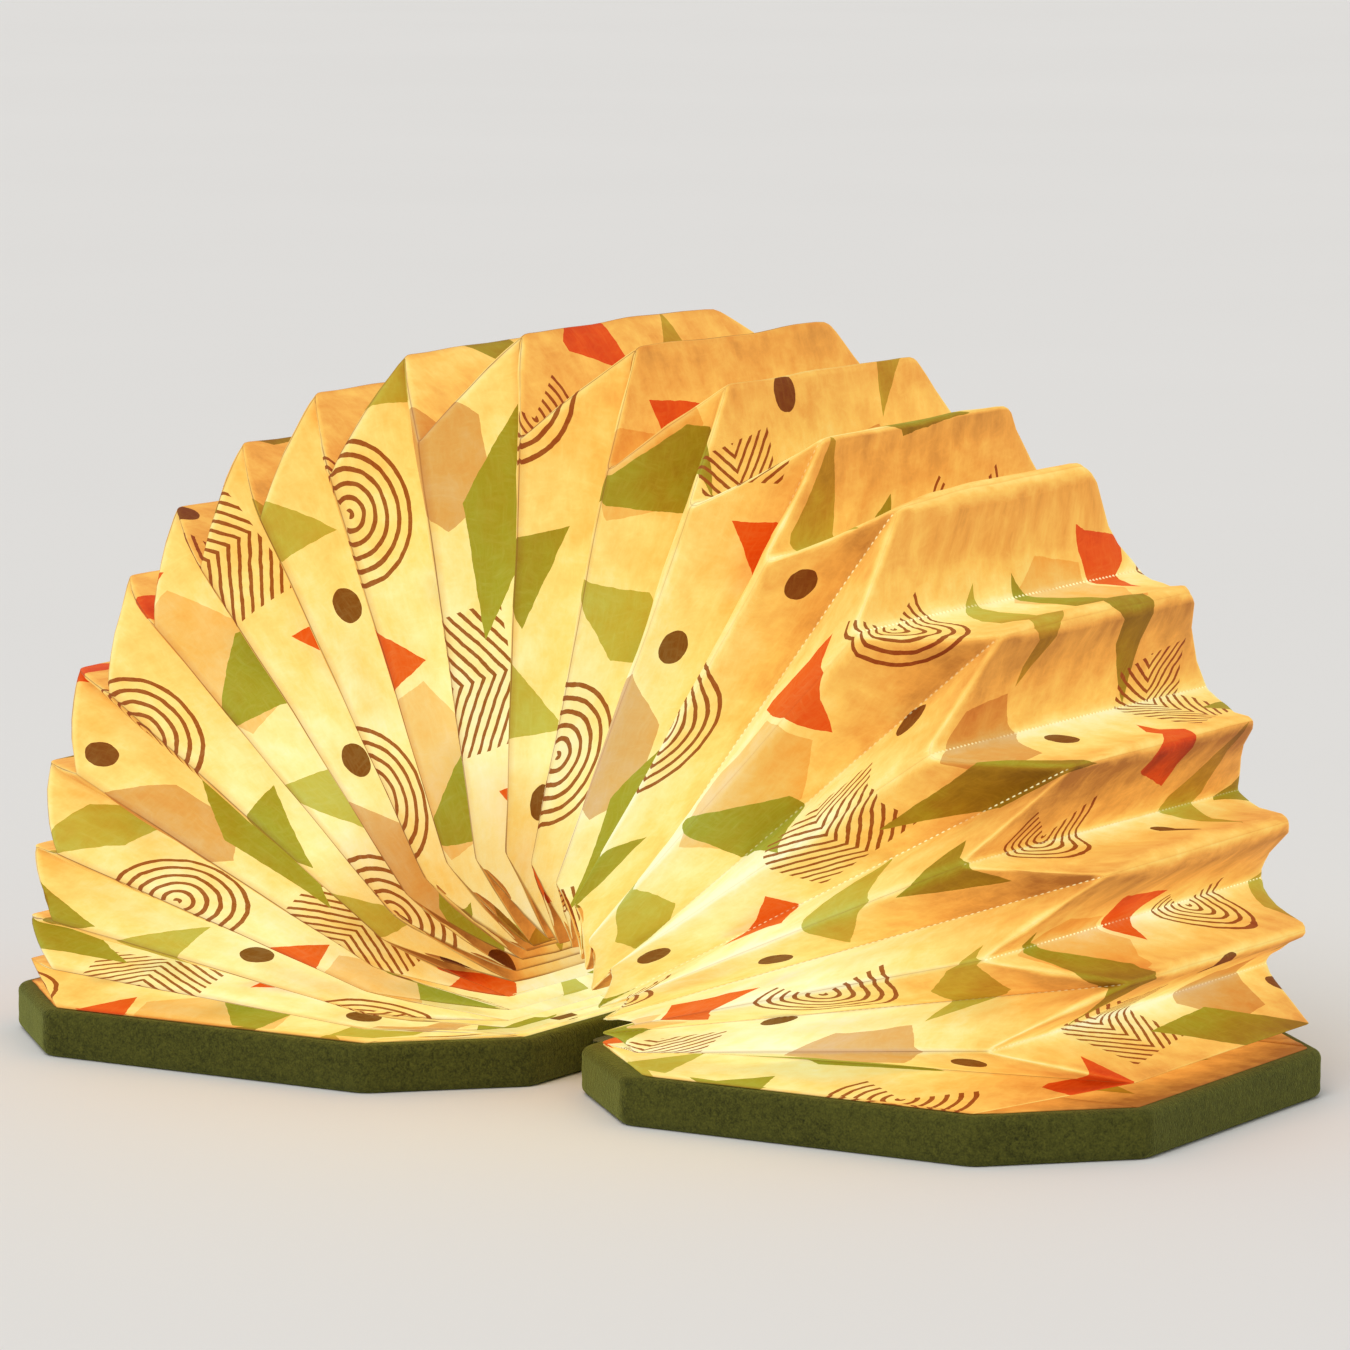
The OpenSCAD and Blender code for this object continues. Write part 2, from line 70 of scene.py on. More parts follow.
# %% A helper that wires nodes
class Wiring:
    """Adds nodes to one node tree and joins them."""

    def __init__(self, tree):
        self.tree = tree

    def feed(self, socket, value):
        """Links an output to the socket, or sets its value. A colour is three numbers."""
        if isinstance(value, bpy.types.NodeSocket):
            self.tree.links.new(value, socket)
        else:
            socket.default_value = (*value, 1.0) if socket.type == "RGBA" else value

    def node(self, kind, inputs=None, **settings):
        made = self.tree.nodes.new(kind)
        for name, value in settings.items():
            setattr(made, name, value)
        for name, value in (inputs or {}).items():
            self.feed(made.inputs[name], value)
        return made

    def fill(self, sockets, **values):
        """Feeds sockets by name. An underscore stands for a space."""
        for name, value in values.items():
            self.feed(sockets[name.replace("_", " ")], value)

    def math(self, operation, *values, kind="ShaderNodeMath"):
        made = self.node(kind, operation=operation)
        for socket, value in zip(made.inputs, values):
            self.feed(socket, value)
        return made.outputs[0]

    def vector(self, operation, *values):
        return self.math(operation, *values, kind="ShaderNodeVectorMath")

    def times(self, first, second):
        return self.math("MULTIPLY", first, second)

    def times_plus(self, first, second, third):
        return self.math("MULTIPLY_ADD", first, second, third)

    def split(self, point):
        return self.node("ShaderNodeSeparateXYZ", {"Vector": point}).outputs

    def noise(self, point, scale, detail=3.0, roughness=0.5, output=0):
        return self.node("ShaderNodeTexNoise", {
            "Vector": point, "Scale": scale, "Detail": detail, "Roughness": roughness,
        }).outputs[output]

    def stretch(self, value, low, high, to_low=0.0, to_high=1.0):
        return self.node("ShaderNodeMapRange", {
            "Value": value, "From Min": low, "From Max": high,
            "To Min": to_low, "To Max": to_high,
        }).outputs[0]

    def mix(self, share, first, second, blend="MIX"):
        made = self.node("ShaderNodeMix", data_type="RGBA", blend_type=blend)
        for index, value in ((0, share), (6, first), (7, second)):
            self.feed(made.inputs[index], value)
        return made.outputs[2]

    def ramp(self, value, stops):
        made = self.node("ShaderNodeValToRGB", {"Fac": value})
        for index, (place, colour) in enumerate(stops):
            stop = made.color_ramp.elements[index] if index < 2 else \
                made.color_ramp.elements.new(place)
            stop.position, stop.color = place, (*colour, 1.0)
        return made.outputs["Color"]

    def bump(self, height, distance, strength=1.0):
        return self.node("ShaderNodeBump", {
            "Height": height, "Distance": distance, "Strength": strength,
        }).outputs["Normal"]

    def group(self, tree, **inputs):
        made = self.node("ShaderNodeGroup", node_tree=tree)
        self.fill(made.inputs, **inputs)
        return made.outputs

    def object_point(self):
        return self.node("ShaderNodeTexCoord").outputs["Object"]


def new_group(name, inputs, outputs):
    """An empty node group with named sockets: the tree, its wiring, its inputs and
    its outputs."""
    tree = bpy.data.node_groups.new(name, "ShaderNodeTree")
    for label, kind, value in inputs:
        socket = tree.interface.new_socket(
            label, in_out="INPUT", socket_type="NodeSocket" + kind)
        if value is not None:
            socket.default_value = value
    for label, kind in outputs:
        tree.interface.new_socket(
            label, in_out="OUTPUT", socket_type="NodeSocket" + kind)
    wiring = Wiring(tree)
    return (tree, wiring, wiring.node("NodeGroupInput").outputs,
            wiring.node("NodeGroupOutput").inputs)


def new_finish(name, **sockets):
    """A material with its wiring and its Principled shader. Names such as
    Sheen_Weight set the shader's own sockets."""
    material = bpy.data.materials.new(name)
    material.use_nodes = True
    wiring = Wiring(material.node_tree)
    shader = material.node_tree.nodes["Principled BSDF"]
    wiring.fill(shader.inputs, **sockets)
    return material, wiring, shader


print("the wiring helper is ready")

# %% A helper that makes a piece from rows of points
def grid_faces(rows, around, ring=True):
    """Faces between rows + 1 rows of points. A ring's last column joins its first."""
    return [(r * around + c, (r + 1) * around + c,
             (r + 1) * around + (c + 1) % around, r * around + (c + 1) % around)
            for r in range(rows) for c in range(around if ring else around - 1)]


def turned_over(faces):
    """The same faces, seen from the other side."""
    return [(a, d, c, b) for a, b, c, d in faces]


def new_piece(name, points, faces, finish):
    mesh = bpy.data.meshes.new(name)
    mesh.from_pydata(points, [], faces)
    mesh.shade_smooth()
    mesh.materials.append(finish)
    piece = bpy.data.objects.new(name, mesh)
    bpy.context.scene.collection.objects.link(piece)
    return piece


print("the mesh helper is ready")

# %% [markdown]
# ## Effects that several finishes share
# Velvet pile, moulded grain and drawn metal each turn up on more than one piece.
# Each is a node group, built once, that gives masks and heights. The colour and
# gloss stay in the material that uses it.

# %% Velvet pile
def make_pile():
    """Short upright fibres: fine tufts, and patches where the pile leans."""
    tree, w, given, out = new_group(
        "Velvet pile",
        [("Point", "Vector", None), ("Tuft scale", "Float", 1400.0)],
        [("Tufts", "Float"), ("Lean", "Float"), ("Height", "Float")])
    tufts = w.noise(given["Point"], given["Tuft scale"], 2.0, 0.6)
    coarse = w.noise(given["Point"], w.times(given["Tuft scale"], 0.38), 2.0)
    both = w.times_plus(tufts, 0.6, w.times(coarse, 0.4))
    lean = w.noise(given["Point"], 38.0, 3.0, 0.55)
    w.fill(out, Tufts=w.stretch(both, 0.32, 0.68), Lean=w.stretch(lean, 0.3, 0.7),
           Height=w.times_plus(both, 0.75, w.times(lean, 0.25)))
    return tree


PILE = make_pile()
print(PILE.name, "has", len(PILE.nodes), "nodes")

# %% Moulded grain
def make_grain():
    """Spark-eroded mould texture with a few paler rub marks."""
    tree, w, given, out = new_group(
        "Moulded grain",
        [("Point", "Vector", None), ("Grain scale", "Float", 1800.0)],
        [("Height", "Float"), ("Rub", "Float")])
    cells = w.node("ShaderNodeTexVoronoi", {
        "Vector": given["Point"], "Scale": given["Grain scale"]}).outputs["Distance"]
    fine = w.noise(given["Point"], given["Grain scale"], 2.0)
    rub = w.noise(given["Point"], 60.0, 5.0, 0.65)
    w.fill(out, Height=w.times_plus(cells, 0.5, w.times(fine, 0.5)),
           Rub=w.stretch(rub, 0.52, 0.75))
    return tree


GRAIN = make_grain()
print(GRAIN.name, "has", len(GRAIN.nodes), "nodes")

# %% Drawn metal
def make_drawn():
    """Long fine scratches along X, and dull spots."""
    tree, w, given, out = new_group(
        "Drawn metal", [("Point", "Vector", None)],
        [("Scratches", "Float"), ("Dull", "Float")])
    long = w.vector("MULTIPLY", given["Point"], (90.0, 2600.0, 2600.0))
    w.fill(out, Scratches=w.noise(long, 1.0, 4.0, 0.6),
           Dull=w.stretch(w.noise(given["Point"], 240.0, 4.0), 0.4, 0.7))
    return tree


DRAWN = make_drawn()
print(DRAWN.name, "has", len(DRAWN.nodes), "nodes")

# %% [markdown]
# ## The paper and its print
# The shade is one long sheet, printed flat and then folded. So the print is drawn
# in the flat sheet's own coordinates, which the mesh will carry as its UV map, in
# metres: U runs round the lamp and V runs from cover to cover. Folding then bends
# the motifs over the creases by itself. An image would do too, but shapes made of
# distances stay sharp at any size. Each motif is a simple inequality on a turned
# and scaled point.

# %% Inks and motifs of the print
# An ink filters the light that comes through the paper, so it is a colour that
# the paper's own colour is multiplied by.
INKS = {
    "olive": (0.37, 0.40, 0.06),
    "sage": (0.54, 0.56, 0.18),
    "tangerine": (0.80, 0.14, 0.02),
    "umber": (0.21, 0.085, 0.015),
    "russet": (0.34, 0.115, 0.035),
    "mauve": (0.74, 0.52, 0.42),
    "peach": (0.91, 0.69, 0.52),
}
PANEL = 0.0378  # width of one paper panel, from crease to crease
REPEAT_U, REPEAT_V = 0.196, 6 * PANEL
BRICK_SHIFT = 0.41
RING_PITCH, CHEVRON_PITCH = 4.6, 4.8  # of the motifs' lines, in millimetres
LINE_SHARE = 0.36
# shape, place along U and V, turn in degrees, half width, half height, ink
MOTIFS = [
    ("hexagon", 40, 48, 14, 30, 27, "peach"),
    ("lozenge", 30, 70, 18, 16, 44, "olive"),
    ("triangle", 78, 38, -8, 20, 19, "tangerine"),
    ("rings", 128, 42, 0, 27, 27, "russet"),
    ("lozenge", 172, 62, -24, 13, 36, "sage"),
    ("dot", 96, 82, 0, 6.5, 6.5, "umber"),
    ("hexagon", 138, 118, 30, 27, 23, "mauve"),
    ("chevrons", 62, 118, 8, 25, 25, "russet"),
    ("lozenge", 116, 142, 74, 15, 42, "olive"),
    ("triangle", 20, 150, 160, 19, 20, "tangerine"),
    ("dot", 176, 128, 0, 6.0, 6.0, "umber"),
    ("lozenge", 58, 184, -16, 14, 34, "sage"),
    ("rings", 158, 184, 0, 25, 25, "russet"),
    ("triangle", 104, 196, 40, 17, 18, "olive"),
    ("dot", 24, 208, 0, 6.0, 6.0, "umber"),
]


def motif_mask(w, shape, x, y, half):
    """1 inside the motif. x and y run from -1 to 1 across it."""
    ax, ay = w.math("ABSOLUTE", x), w.math("ABSOLUTE", y)
    if shape == "lozenge":
        return w.math("LESS_THAN", w.math("ADD", ax, ay), 1.0)
    if shape == "hexagon":
        return w.math("LESS_THAN", w.math("MAXIMUM", ax, w.times_plus(ax, 0.5, ay)), 0.9)
    if shape == "triangle":
        return w.times(w.math("LESS_THAN", w.times_plus(y, 0.5, ax), 0.5),
                       w.math("GREATER_THAN", y, -0.9))
    reach = w.math("SQRT", w.times_plus(x, x, w.times(y, y)))
    if shape == "dot":
        return w.math("LESS_THAN", reach, 1.0)
    if shape == "rings":
        inside = w.times(w.math("LESS_THAN", reach, 1.0),
                         w.math("GREATER_THAN", y, w.times(ax, -0.7)))
        lines = w.math("FRACT", w.times(reach, half / RING_PITCH))
    else:
        inside = w.math("LESS_THAN", w.math("MAXIMUM", ax, ay), 0.92)
        rise = w.times_plus(ax, 0.8, y)
        lines = w.math("FRACT", w.times_plus(rise, half / CHEVRON_PITCH, 9.0))
    return w.times(inside, w.math("LESS_THAN", lines, LINE_SHARE))


print(len(MOTIFS), "motifs in a repeat of", round(REPEAT_U / MM), "x",
      round(REPEAT_V / MM), "mm")

# %% The print as a node group
def make_print():
    tree, w, given, out = new_group(
        "Paper print", [("Flat point", "Vector", None)], [("Ink", "Color")])
    wobble = w.noise(given["Flat point"], 190.0, 2.0, output=1)
    rough_edge = w.vector("MULTIPLY_ADD", wobble, (0.0011,) * 3, given["Flat point"])
    u, v = w.split(rough_edge)[:2]
    row = w.math("FLOOR", w.math("DIVIDE", v, REPEAT_V))
    shifted = w.times_plus(row, REPEAT_U * BRICK_SHIFT, u)
    place = w.node("ShaderNodeCombineXYZ", {
        "X": w.math("FLOORED_MODULO", shifted, REPEAT_U),
        "Y": w.math("FLOORED_MODULO", v, REPEAT_V)}).outputs[0]
    ink = (1.0, 1.0, 1.0)
    for shape, at_u, at_v, turn, half_u, half_v, colour in MOTIFS:
        moved = w.vector("SUBTRACT", place, (at_u * MM, at_v * MM, 0.0))
        turned = w.node("ShaderNodeVectorRotate", {
            "Vector": moved, "Angle": math.radians(turn)},
            rotation_type="Z_AXIS").outputs[0]
        x, y = w.split(w.vector("DIVIDE", turned, (half_u * MM, half_v * MM, 1.0)))[:2]
        ink = w.mix(motif_mask(w, shape, x, y, half_u), ink, INKS[colour])
    w.fill(out, Ink=ink)
    return tree


PRINT = make_print()
print(PRINT.name, "has", len(PRINT.nodes), "nodes")

# %% [markdown]
# ## What paper fibres do to the light
# Held against a lamp, this kind of paper shows soft clouds where its fibres lie
# thick or thin, and hair-fine streaks. One noise makes the clouds. Two more are
# stretched along U and along V, and bent by a slow swirl, to make the streaks.

# %% Cloudy fibres
def make_fibres():
    tree, w, given, out = new_group(
        "Paper fibres", [("Flat point", "Vector", None)],
        [("Clouds", "Float"), ("Streaks", "Float"), ("Height", "Float")])
    point = given["Flat point"]
    clouds = w.noise(point, 75.0, 7.0, 0.62)
    swirl = w.noise(point, 30.0, 2.0, output=1)
    bent = w.vector("MULTIPLY_ADD", swirl, (0.022,) * 3, point)
    along, across = (
        w.noise(w.vector("MULTIPLY", bent, paces), 1.0, 4.0, 0.6)
        for paces in ((110.0, 620.0, 1.0), (620.0, 110.0, 1.0)))
    streaks = w.math("MAXIMUM", along, across)
    w.fill(out, Clouds=w.stretch(clouds, 0.32, 0.68), Streaks=w.stretch(streaks, 0.45, 0.75),
           Height=w.times_plus(clouds, 0.5, w.times(streaks, 0.5)))
    return tree


FIBRES = make_fibres()
print(FIBRES.name, "has", len(FIBRES.nodes), "nodes")

# %% [markdown]
# ## The glowing paper
# A real shade is lit from inside. Tracing that light through paper is slow and
# noisy, so each point of the mesh carries how much light reaches its inner side,
# worked out once from the lights' places, in an attribute called glow. The
# material turns it into emission, from deep orange in the dim corners to pale
# yellow next to the lights. Three more attributes go with it. Leak says where
# light shows as a row of bright pricks along a perforated crease, mitre is 1 on
# the zigzag creases at the corners, and outline says how dark the painted shade
# line along a crease is drawn.

# %% The paper finish
MARKS = ("glow", "leak", "mitre", "outline")
PRICK_PITCH = 0.0024
# How far from its middle each mark starts to fade, and where it is gone.
LINE_FADE, SOFT_FADE, PRICK_FADE = (0.00025, 0.00065), (0.0002, 0.0038), (0.00050, 0.00078)
CLOUD_SHARE, STREAK_SHARE, INK_STREAKS = 0.20, 0.055, 0.07
SOFT_SHARE, LINE_STRENGTH = 0.7, 0.85
# Colours of the painted shade along a crease: its thin line, and the soft band beside it.
CREASE_SHADE_BROWN, SOFT_SHADE = (0.27, 0.09, 0.016), (0.78, 0.52, 0.34)
PRICK_LIGHT = (1.0, 0.92, 0.48)
# The lamp's own light and the room's light share the paper's colour.
LAMP_SHARE, ROOM_SHARE = (0.74, 0.73, 0.70), (0.34, 0.34, 0.32)
GLOW_STOPS = [
    (0.0, (0.40, 0.14, 0.024)), (1.0, (1.0, 0.98, 0.64)),
    (0.28, (0.84, 0.37, 0.065)), (0.46, (0.97, 0.56, 0.115)),
    (0.64, (0.99, 0.74, 0.215)), (0.82, (1.0, 0.89, 0.40)),
]


def from_nearest(w, value, pitch):
    """How far a value is from the nearest multiple of the pitch, with its sign."""
    turns = w.math("DIVIDE", value, pitch)
    return w.times(w.math("SUBTRACT", turns, w.math("ROUND", turns)), pitch)


def crease_lines(w, flat_point, mitre, outline):
    """The thin painted shade line of a crease, the soft painted shade beside it, and
    its pricks. A stronger outline is also wider."""
    u, v = w.split(flat_point)[:2]
    away = w.math("ABSOLUTE", from_nearest(w, v, PANEL))
    width = w.math("MAXIMUM", outline, 0.3)
    narrowed = w.math("DIVIDE", away, width)
    off_mitre = w.math("DIVIDE", w.math("SUBTRACT", 1.0, mitre), width)
    shown = w.math("MINIMUM", outline, 1.0)
    line = w.math("MAXIMUM", w.stretch(narrowed, *LINE_FADE, 1.0, 0.0),
                  w.stretch(off_mitre, 0.10, 0.28, 1.0, 0.0))
    soft = w.math("MAXIMUM", w.stretch(narrowed, *SOFT_FADE, 1.0, 0.0),
                  w.stretch(off_mitre, 0.0, 1.0, 1.0, 0.0))
    uneven = w.stretch(w.noise(flat_point, 24.0, 2.0), 0.35, 0.6, 0.35, 1.0)
    beside = from_nearest(w, u, PRICK_PITCH)
    reach = w.math("SQRT", w.times_plus(beside, beside, w.times(away, away)))
    pricks = w.times(w.stretch(reach, *PRICK_FADE, 1.0, 0.0),
                     w.stretch(w.noise(flat_point, 31.0, 2.0), 0.38, 0.5, 0.25, 1.0))
    return w.times(line, w.times(uneven, shown)), w.times(soft, shown), pricks


def make_paper():
    material, w, shader = new_finish("Printed fibre paper", Roughness=0.78,
                                     Specular_IOR_Level=0.25, Emission_Strength=1.0)
    flat_point = w.node("ShaderNodeUVMap", uv_map="flat_sheet").outputs[0]
    printed = w.group(PRINT, Flat_point=flat_point)
    fibres = w.group(FIBRES, Flat_point=flat_point)
    glow, leak, mitre, outline = (
        w.node("ShaderNodeAttribute", attribute_name=mark).outputs["Fac"] for mark in MARKS)
    uneven = glow
    for name, share in (("Clouds", CLOUD_SHARE), ("Streaks", STREAK_SHARE)):
        uneven = w.times_plus(w.math("SUBTRACT", fibres[name], 0.5), share, uneven)
    thinned = w.mix(w.times(fibres["Streaks"], INK_STREAKS), printed["Ink"], (1.0, 1.0, 1.0))
    inked = w.mix(1.0, w.ramp(uneven, GLOW_STOPS), thinned, "MULTIPLY")
    # Painted shade: a dark line along each crease and a soft darker band beside it, strongest where
    # the outline mark is.
    line, soft, pricks = crease_lines(w, flat_point, mitre, outline)
    shaded = w.mix(w.times(soft, SOFT_SHARE), inked, w.mix(1.0, inked, SOFT_SHADE, "MULTIPLY"))
    crease_shaded = w.mix(w.times(line, LINE_STRENGTH), shaded, CREASE_SHADE_BROWN)
    lamplight = w.mix(1.0, crease_shaded, LAMP_SHARE, "MULTIPLY")
    w.fill(shader.inputs, Emission_Color=w.mix(w.times(pricks, leak), lamplight, PRICK_LIGHT),
           Base_Color=w.mix(1.0, crease_shaded, ROOM_SHARE, "MULTIPLY"),
           Normal=w.bump(fibres["Height"], 0.00012, 0.5))
    return material


PAPER = make_paper()
print("paper finish:", len(PAPER.node_tree.nodes), "nodes")

# %% [markdown]
# ## Folding the shade
# Real pleats come from a flat sheet: straight creases from cover to cover, and at
# each corner of the shade a zigzag mitre. A fold is one closed line of paper
# round the lamp, in a plane through the fan's axis. Even folds are ridges, which
# reach furthest out, and odd folds are valleys, which reach furthest forward and
# back. Cloth simulation could crumple a sheet, but these folds are exact, so they
# are worked out, the same way as in the CAD source.

# %% The fan's measures, in metres
RIDGE_ANGLES = [178, 174, 168, 160, 151, 141, 133, 124, 115, 105,
                93, 82, 73, 63, 54, 40, 28, 19, 10, 2]
LAST_FOLD = 2 * (len(RIDGE_ANGLES) + 1)
MIDDLE_FOLD = 23
OUTER_REACH, INNER_REACH = 0.2228, 0.0226
HALF_DEPTH = 0.099
POLE_X, POLE_Z, LEAF_DROP = 0.0085, 0.0282, 0.0118
PLEAT_RADIUS = OUTER_REACH - PANEL / 2
# A valley lies halfway between its ridges, but the end panels lie on the covers.
FOLD_ANGLES = np.interp(range(LAST_FOLD + 1), range(0, LAST_FOLD + 1, 2),
                        [180, *RIDGE_ANGLES, 0])
FOLD_ANGLES[[1, -2]] = 180, 0


def fold_angle(fold):
    """The opening angle of a fold: 180 on the left cover, 0 on the right one."""
    return float(FOLD_ANGLES[min(max(fold, 0), LAST_FOLD)])


def fold_frame(fold):
    """How far a fold's inner and outer sides are pulled in, and half its depth."""
    spread = math.radians(fold_angle(fold - 1) - fold_angle(fold + 1)) / 2
    pleat = math.sqrt(PANEL ** 2 - (spread * PLEAT_RADIUS) ** 2)
    return (0.0, HALF_DEPTH - pleat) if fold % 2 == 0 else (pleat, HALF_DEPTH)


def fold_point(fold, along, y):
    """The place of a point in a fold's plane, so far along from the pole and at y."""
    left = fold <= MIDDLE_FOLD
    turn = fold_angle(fold) if left else 180.0 - fold_angle(fold)
    drop = LEAF_DROP + (POLE_X - LEAF_DROP) * (180.0 - turn) / 90.0
    turn = math.radians(turn)
    x = POLE_X + along * math.cos(turn) - drop * math.sin(turn)
    z = POLE_Z + along * math.sin(turn) + drop * math.cos(turn)
    return x if left else -x, y, z


def fold_corners(fold):
    """The fold's corners: inner front, outer front, outer rear, inner rear."""
    pull, half = fold_frame(fold)
    outer, inner = OUTER_REACH - pull, INNER_REACH + pull
    return [fold_point(fold, along, y) for along, y in (
        (inner, -half), (outer, -half), (outer, half), (inner, half))]


CORNERS = np.array([fold_corners(fold) for fold in range(LAST_FOLD + 1)])
print(len(CORNERS), "folds, and the middle one stands at", fold_angle(MIDDLE_FOLD), "degrees")

# %% [markdown]
# ## Paper is never quite straight
# The sheet is a grid: rows run round the lamp, and each panel takes ten of them.
# Rows lie closer together next to a crease, and columns next to a corner, because
# creases and corners are rounded there with short Bezier curves. Then the panels
# bulge a little, as paper does that was folded by hand.

# %% Grid lines across a panel and round the lamp
ACROSS = [0.0, 0.035, 0.09, 0.18, 0.32, 0.5, 0.68, 0.82, 0.91, 0.965]
BY_CORNER = [0.0, 0.012, 0.026, 0.045, 0.075]
LONG_SIDE = BY_CORNER + [0.12 + 0.76 * i / 14 for i in range(15)] + [
    1 - share for share in reversed(BY_CORNER[1:])]
HALF_INNER = [0.0, 0.03, 0.08, 0.16, 0.35, 0.65]
# The places round a fold as (side, share of that side). The sides are 0, from the
# inner middle to the front; 1, front; 2, outer; 3, rear; and 4, back to the inner
# middle. The last column lies on the first.
COLUMNS = ([(0, 0.0)] + [(0, 1 - share) for share in reversed(HALF_INNER[1:])]
           + [(side, share) for side in (1, 2, 3) for share in LONG_SIDE]
           + [(4, share) for share in HALF_INNER + [1.0]])
SIDES = np.array([side for side, share in COLUMNS])
SHARES = np.array([share for side, share in COLUMNS])
AROUND = len(COLUMNS) - 1
PANEL_ROWS = len(ACROSS)
ROW_FOLD = np.array([panel + across for panel in range(LAST_FOLD) for across in ACROSS]
                    + [LAST_FOLD])
ROW_PANEL = np.minimum(ROW_FOLD.astype(int), LAST_FOLD - 1)
ROW_SHARE = ROW_FOLD - ROW_PANEL


def rows_between(first_fold, last_fold):
    return slice(first_fold * PANEL_ROWS, last_fold * PANEL_ROWS + 1)


def by_row(values):
    """Spreads values of the folds over the rows between them."""
    share = ROW_SHARE.reshape(-1, *[1] * (values.ndim - 1))
    return values[ROW_PANEL] + (values[ROW_PANEL + 1] - values[ROW_PANEL]) * share


def rise(value, start, end):
    """0 at the start, 1 at the end, straight between them and level beyond."""
    return np.clip((value - start) / (end - start), 0, 1)


print("the sheet is a grid of", len(ROW_FOLD), "by", AROUND)

# %% Small unevenness, from seeded waves
CORNER_SHIFT = 0.0005
CREASE_WOBBLE = 0.00045
PANEL_WAVE = 0.00045
BELLY = 0.0012
MITRE_BOW_LEFT, MITRE_BOW_RIGHT = 0.0018, -0.0016
dice = np.random.default_rng(11)


def waves(x, y, shortest=0.02, longest=0.07, count=7):
    """A smooth random surface, about -1 to 1 high, from crossing waves."""
    total = 0.0
    for _ in range(count):
        angle, phase = dice.uniform(0, 2 * math.pi, 2)
        pace = 2 * math.pi / dice.uniform(shortest, longest)
        total = total + np.sin(pace * (x * math.cos(angle) + y * math.sin(angle)) + phase)
    return total / math.sqrt(count)


def freedom(fold):
    """0 for the paper that lies on a cover, and 1 for the free folds."""
    return rise(np.minimum(fold, LAST_FOLD - fold), 1.5, 3.5)


def uneven_corners():
    shift = dice.uniform(-1, 1, CORNERS.shape) * CORNER_SHIFT
    return CORNERS + shift * freedom(np.arange(LAST_FOLD + 1))[:, None, None]


FOLDED = uneven_corners()
print("corners moved by up to", CORNER_SHIFT / MM, "mm")

# %% Rounded rings
SHARP_CORNER = 0.0025


def unit(vectors):
    return vectors / np.maximum(np.linalg.norm(vectors, axis=-1, keepdims=True), 1e-12)


def bend(before, corner, after, reach, place):
    """A point on the short curve that rounds a corner. It starts reach before the
    corner, at place 0, and ends as far behind it, at place 1."""
    start = corner + unit(before - corner) * reach
    end = corner + unit(after - corner) * reach
    return ((1 - place) ** 2 * start + 2 * place * (1 - place) * corner
            + place ** 2 * end)


def row_corners():
    """The four corners of each row. Between two folds they bow outwards."""
    corners = by_row(FOLDED)
    outwards = unit(corners - corners.mean(axis=1, keepdims=True))
    bow = np.interp(ROW_FOLD, (19, 29), (MITRE_BOW_LEFT, MITRE_BOW_RIGHT))
    bow *= 4 * ROW_SHARE * (1 - ROW_SHARE) * freedom(ROW_FOLD)
    return corners + outwards * bow[:, None, None]


def corner_reach():
    """How far each corner's rounding reaches: most at the rear ends of ridges."""
    ridge = np.abs(1 - ROW_FOLD % 2) * freedom(ROW_FOLD)
    inner = np.interp(ROW_FOLD, (28, 38), (0.003, 0.009))
    rear = np.interp(ROW_FOLD, (10, 20, 31, 35), (0.004, 0.012, 0.012, 0.005))
    return np.stack([inner, SHARP_CORNER + ridge * 0.003, SHARP_CORNER + ridge * rear,
                     inner], axis=1)


def ring_points():
    corners, reaches = row_corners(), corner_reach()
    middle = (corners[:, 0] + corners[:, 3]) / 2
    stops = [middle, *corners.transpose(1, 0, 2), middle]
    columns = []
    for side, share in COLUMNS[:-1]:
        start, end = stops[side], stops[side + 1]
        length = np.linalg.norm(end - start, axis=1)
        point = start + (end - start) * share
        # Near a corner the point moves onto the curve that rounds it.
        for corner, gap, way in ((side - 1, share * length, 1), (side, (1 - share) * length, -1)):
            if 0 <= corner <= 3:
                reach = reaches[:, corner]
                place = ((1 + way * gap / reach) / 2)[:, None]
                bent = bend(*stops[corner:corner + 3], reach[:, None], place)
                point = np.where((gap < reach)[:, None], bent, point)
        columns.append(point)
    return np.stack(columns, axis=1)


grid = ring_points()
print("grid of points:", grid.shape)

# %% The flat sheet: U round the lamp and V from cover to cover
def flat_u():
    """U of every row and column, so that the print bends over the creases."""
    marks = []
    for fold in range(LAST_FOLD + 1):
        pull, half = fold_frame(fold)
        length = OUTER_REACH - INNER_REACH - 2 * pull
        marks.append([-2 * half - length, -half - length, -half, half, half + length,
                      2 * half + length])
    marks = by_row(np.array(marks))
    return marks[:, SIDES] + (marks[:, SIDES + 1] - marks[:, SIDES]) * SHARES


FLAT_U = flat_u()
FLAT_V = np.repeat((ROW_FOLD * PANEL)[:, None], len(COLUMNS), axis=1)
print("the flat sheet is", np.ptp(FLAT_U, axis=1).max().round(3), "by", FLAT_V.max().round(3), "m")

# %% Round the creases, then let the panels bulge
# How much further a few slack ridges are rounded, on their outer and rear sides.
SLACK_RIDGES = {28: 0.003, 30: 0.012, 32: 0.008, 34: 0.004, 36: 0.012, 38: 0.004}
SLACK_SIDE = rise(SHARES[:-1], 0, 0.25) * (SIDES[:-1] == 2) + (SIDES[:-1] == 3)
FULLNESS = 0.8
GLUED_CREASE, FREE_CREASE, SOFT_RIDGE, SOFT_VALLEY = 0.0007, 0.0008, 0.0026, 0.0062


def crease_reach(fold):
    """How far a crease is rounded: sharp on the left, soft in the right valleys."""
    soft = (SOFT_RIDGE if fold % 2 == 0 else SOFT_VALLEY) * rise(fold, 22, 30)
    return GLUED_CREASE + freedom(fold) * (FREE_CREASE + soft * dice.uniform(0.8, 1.2))


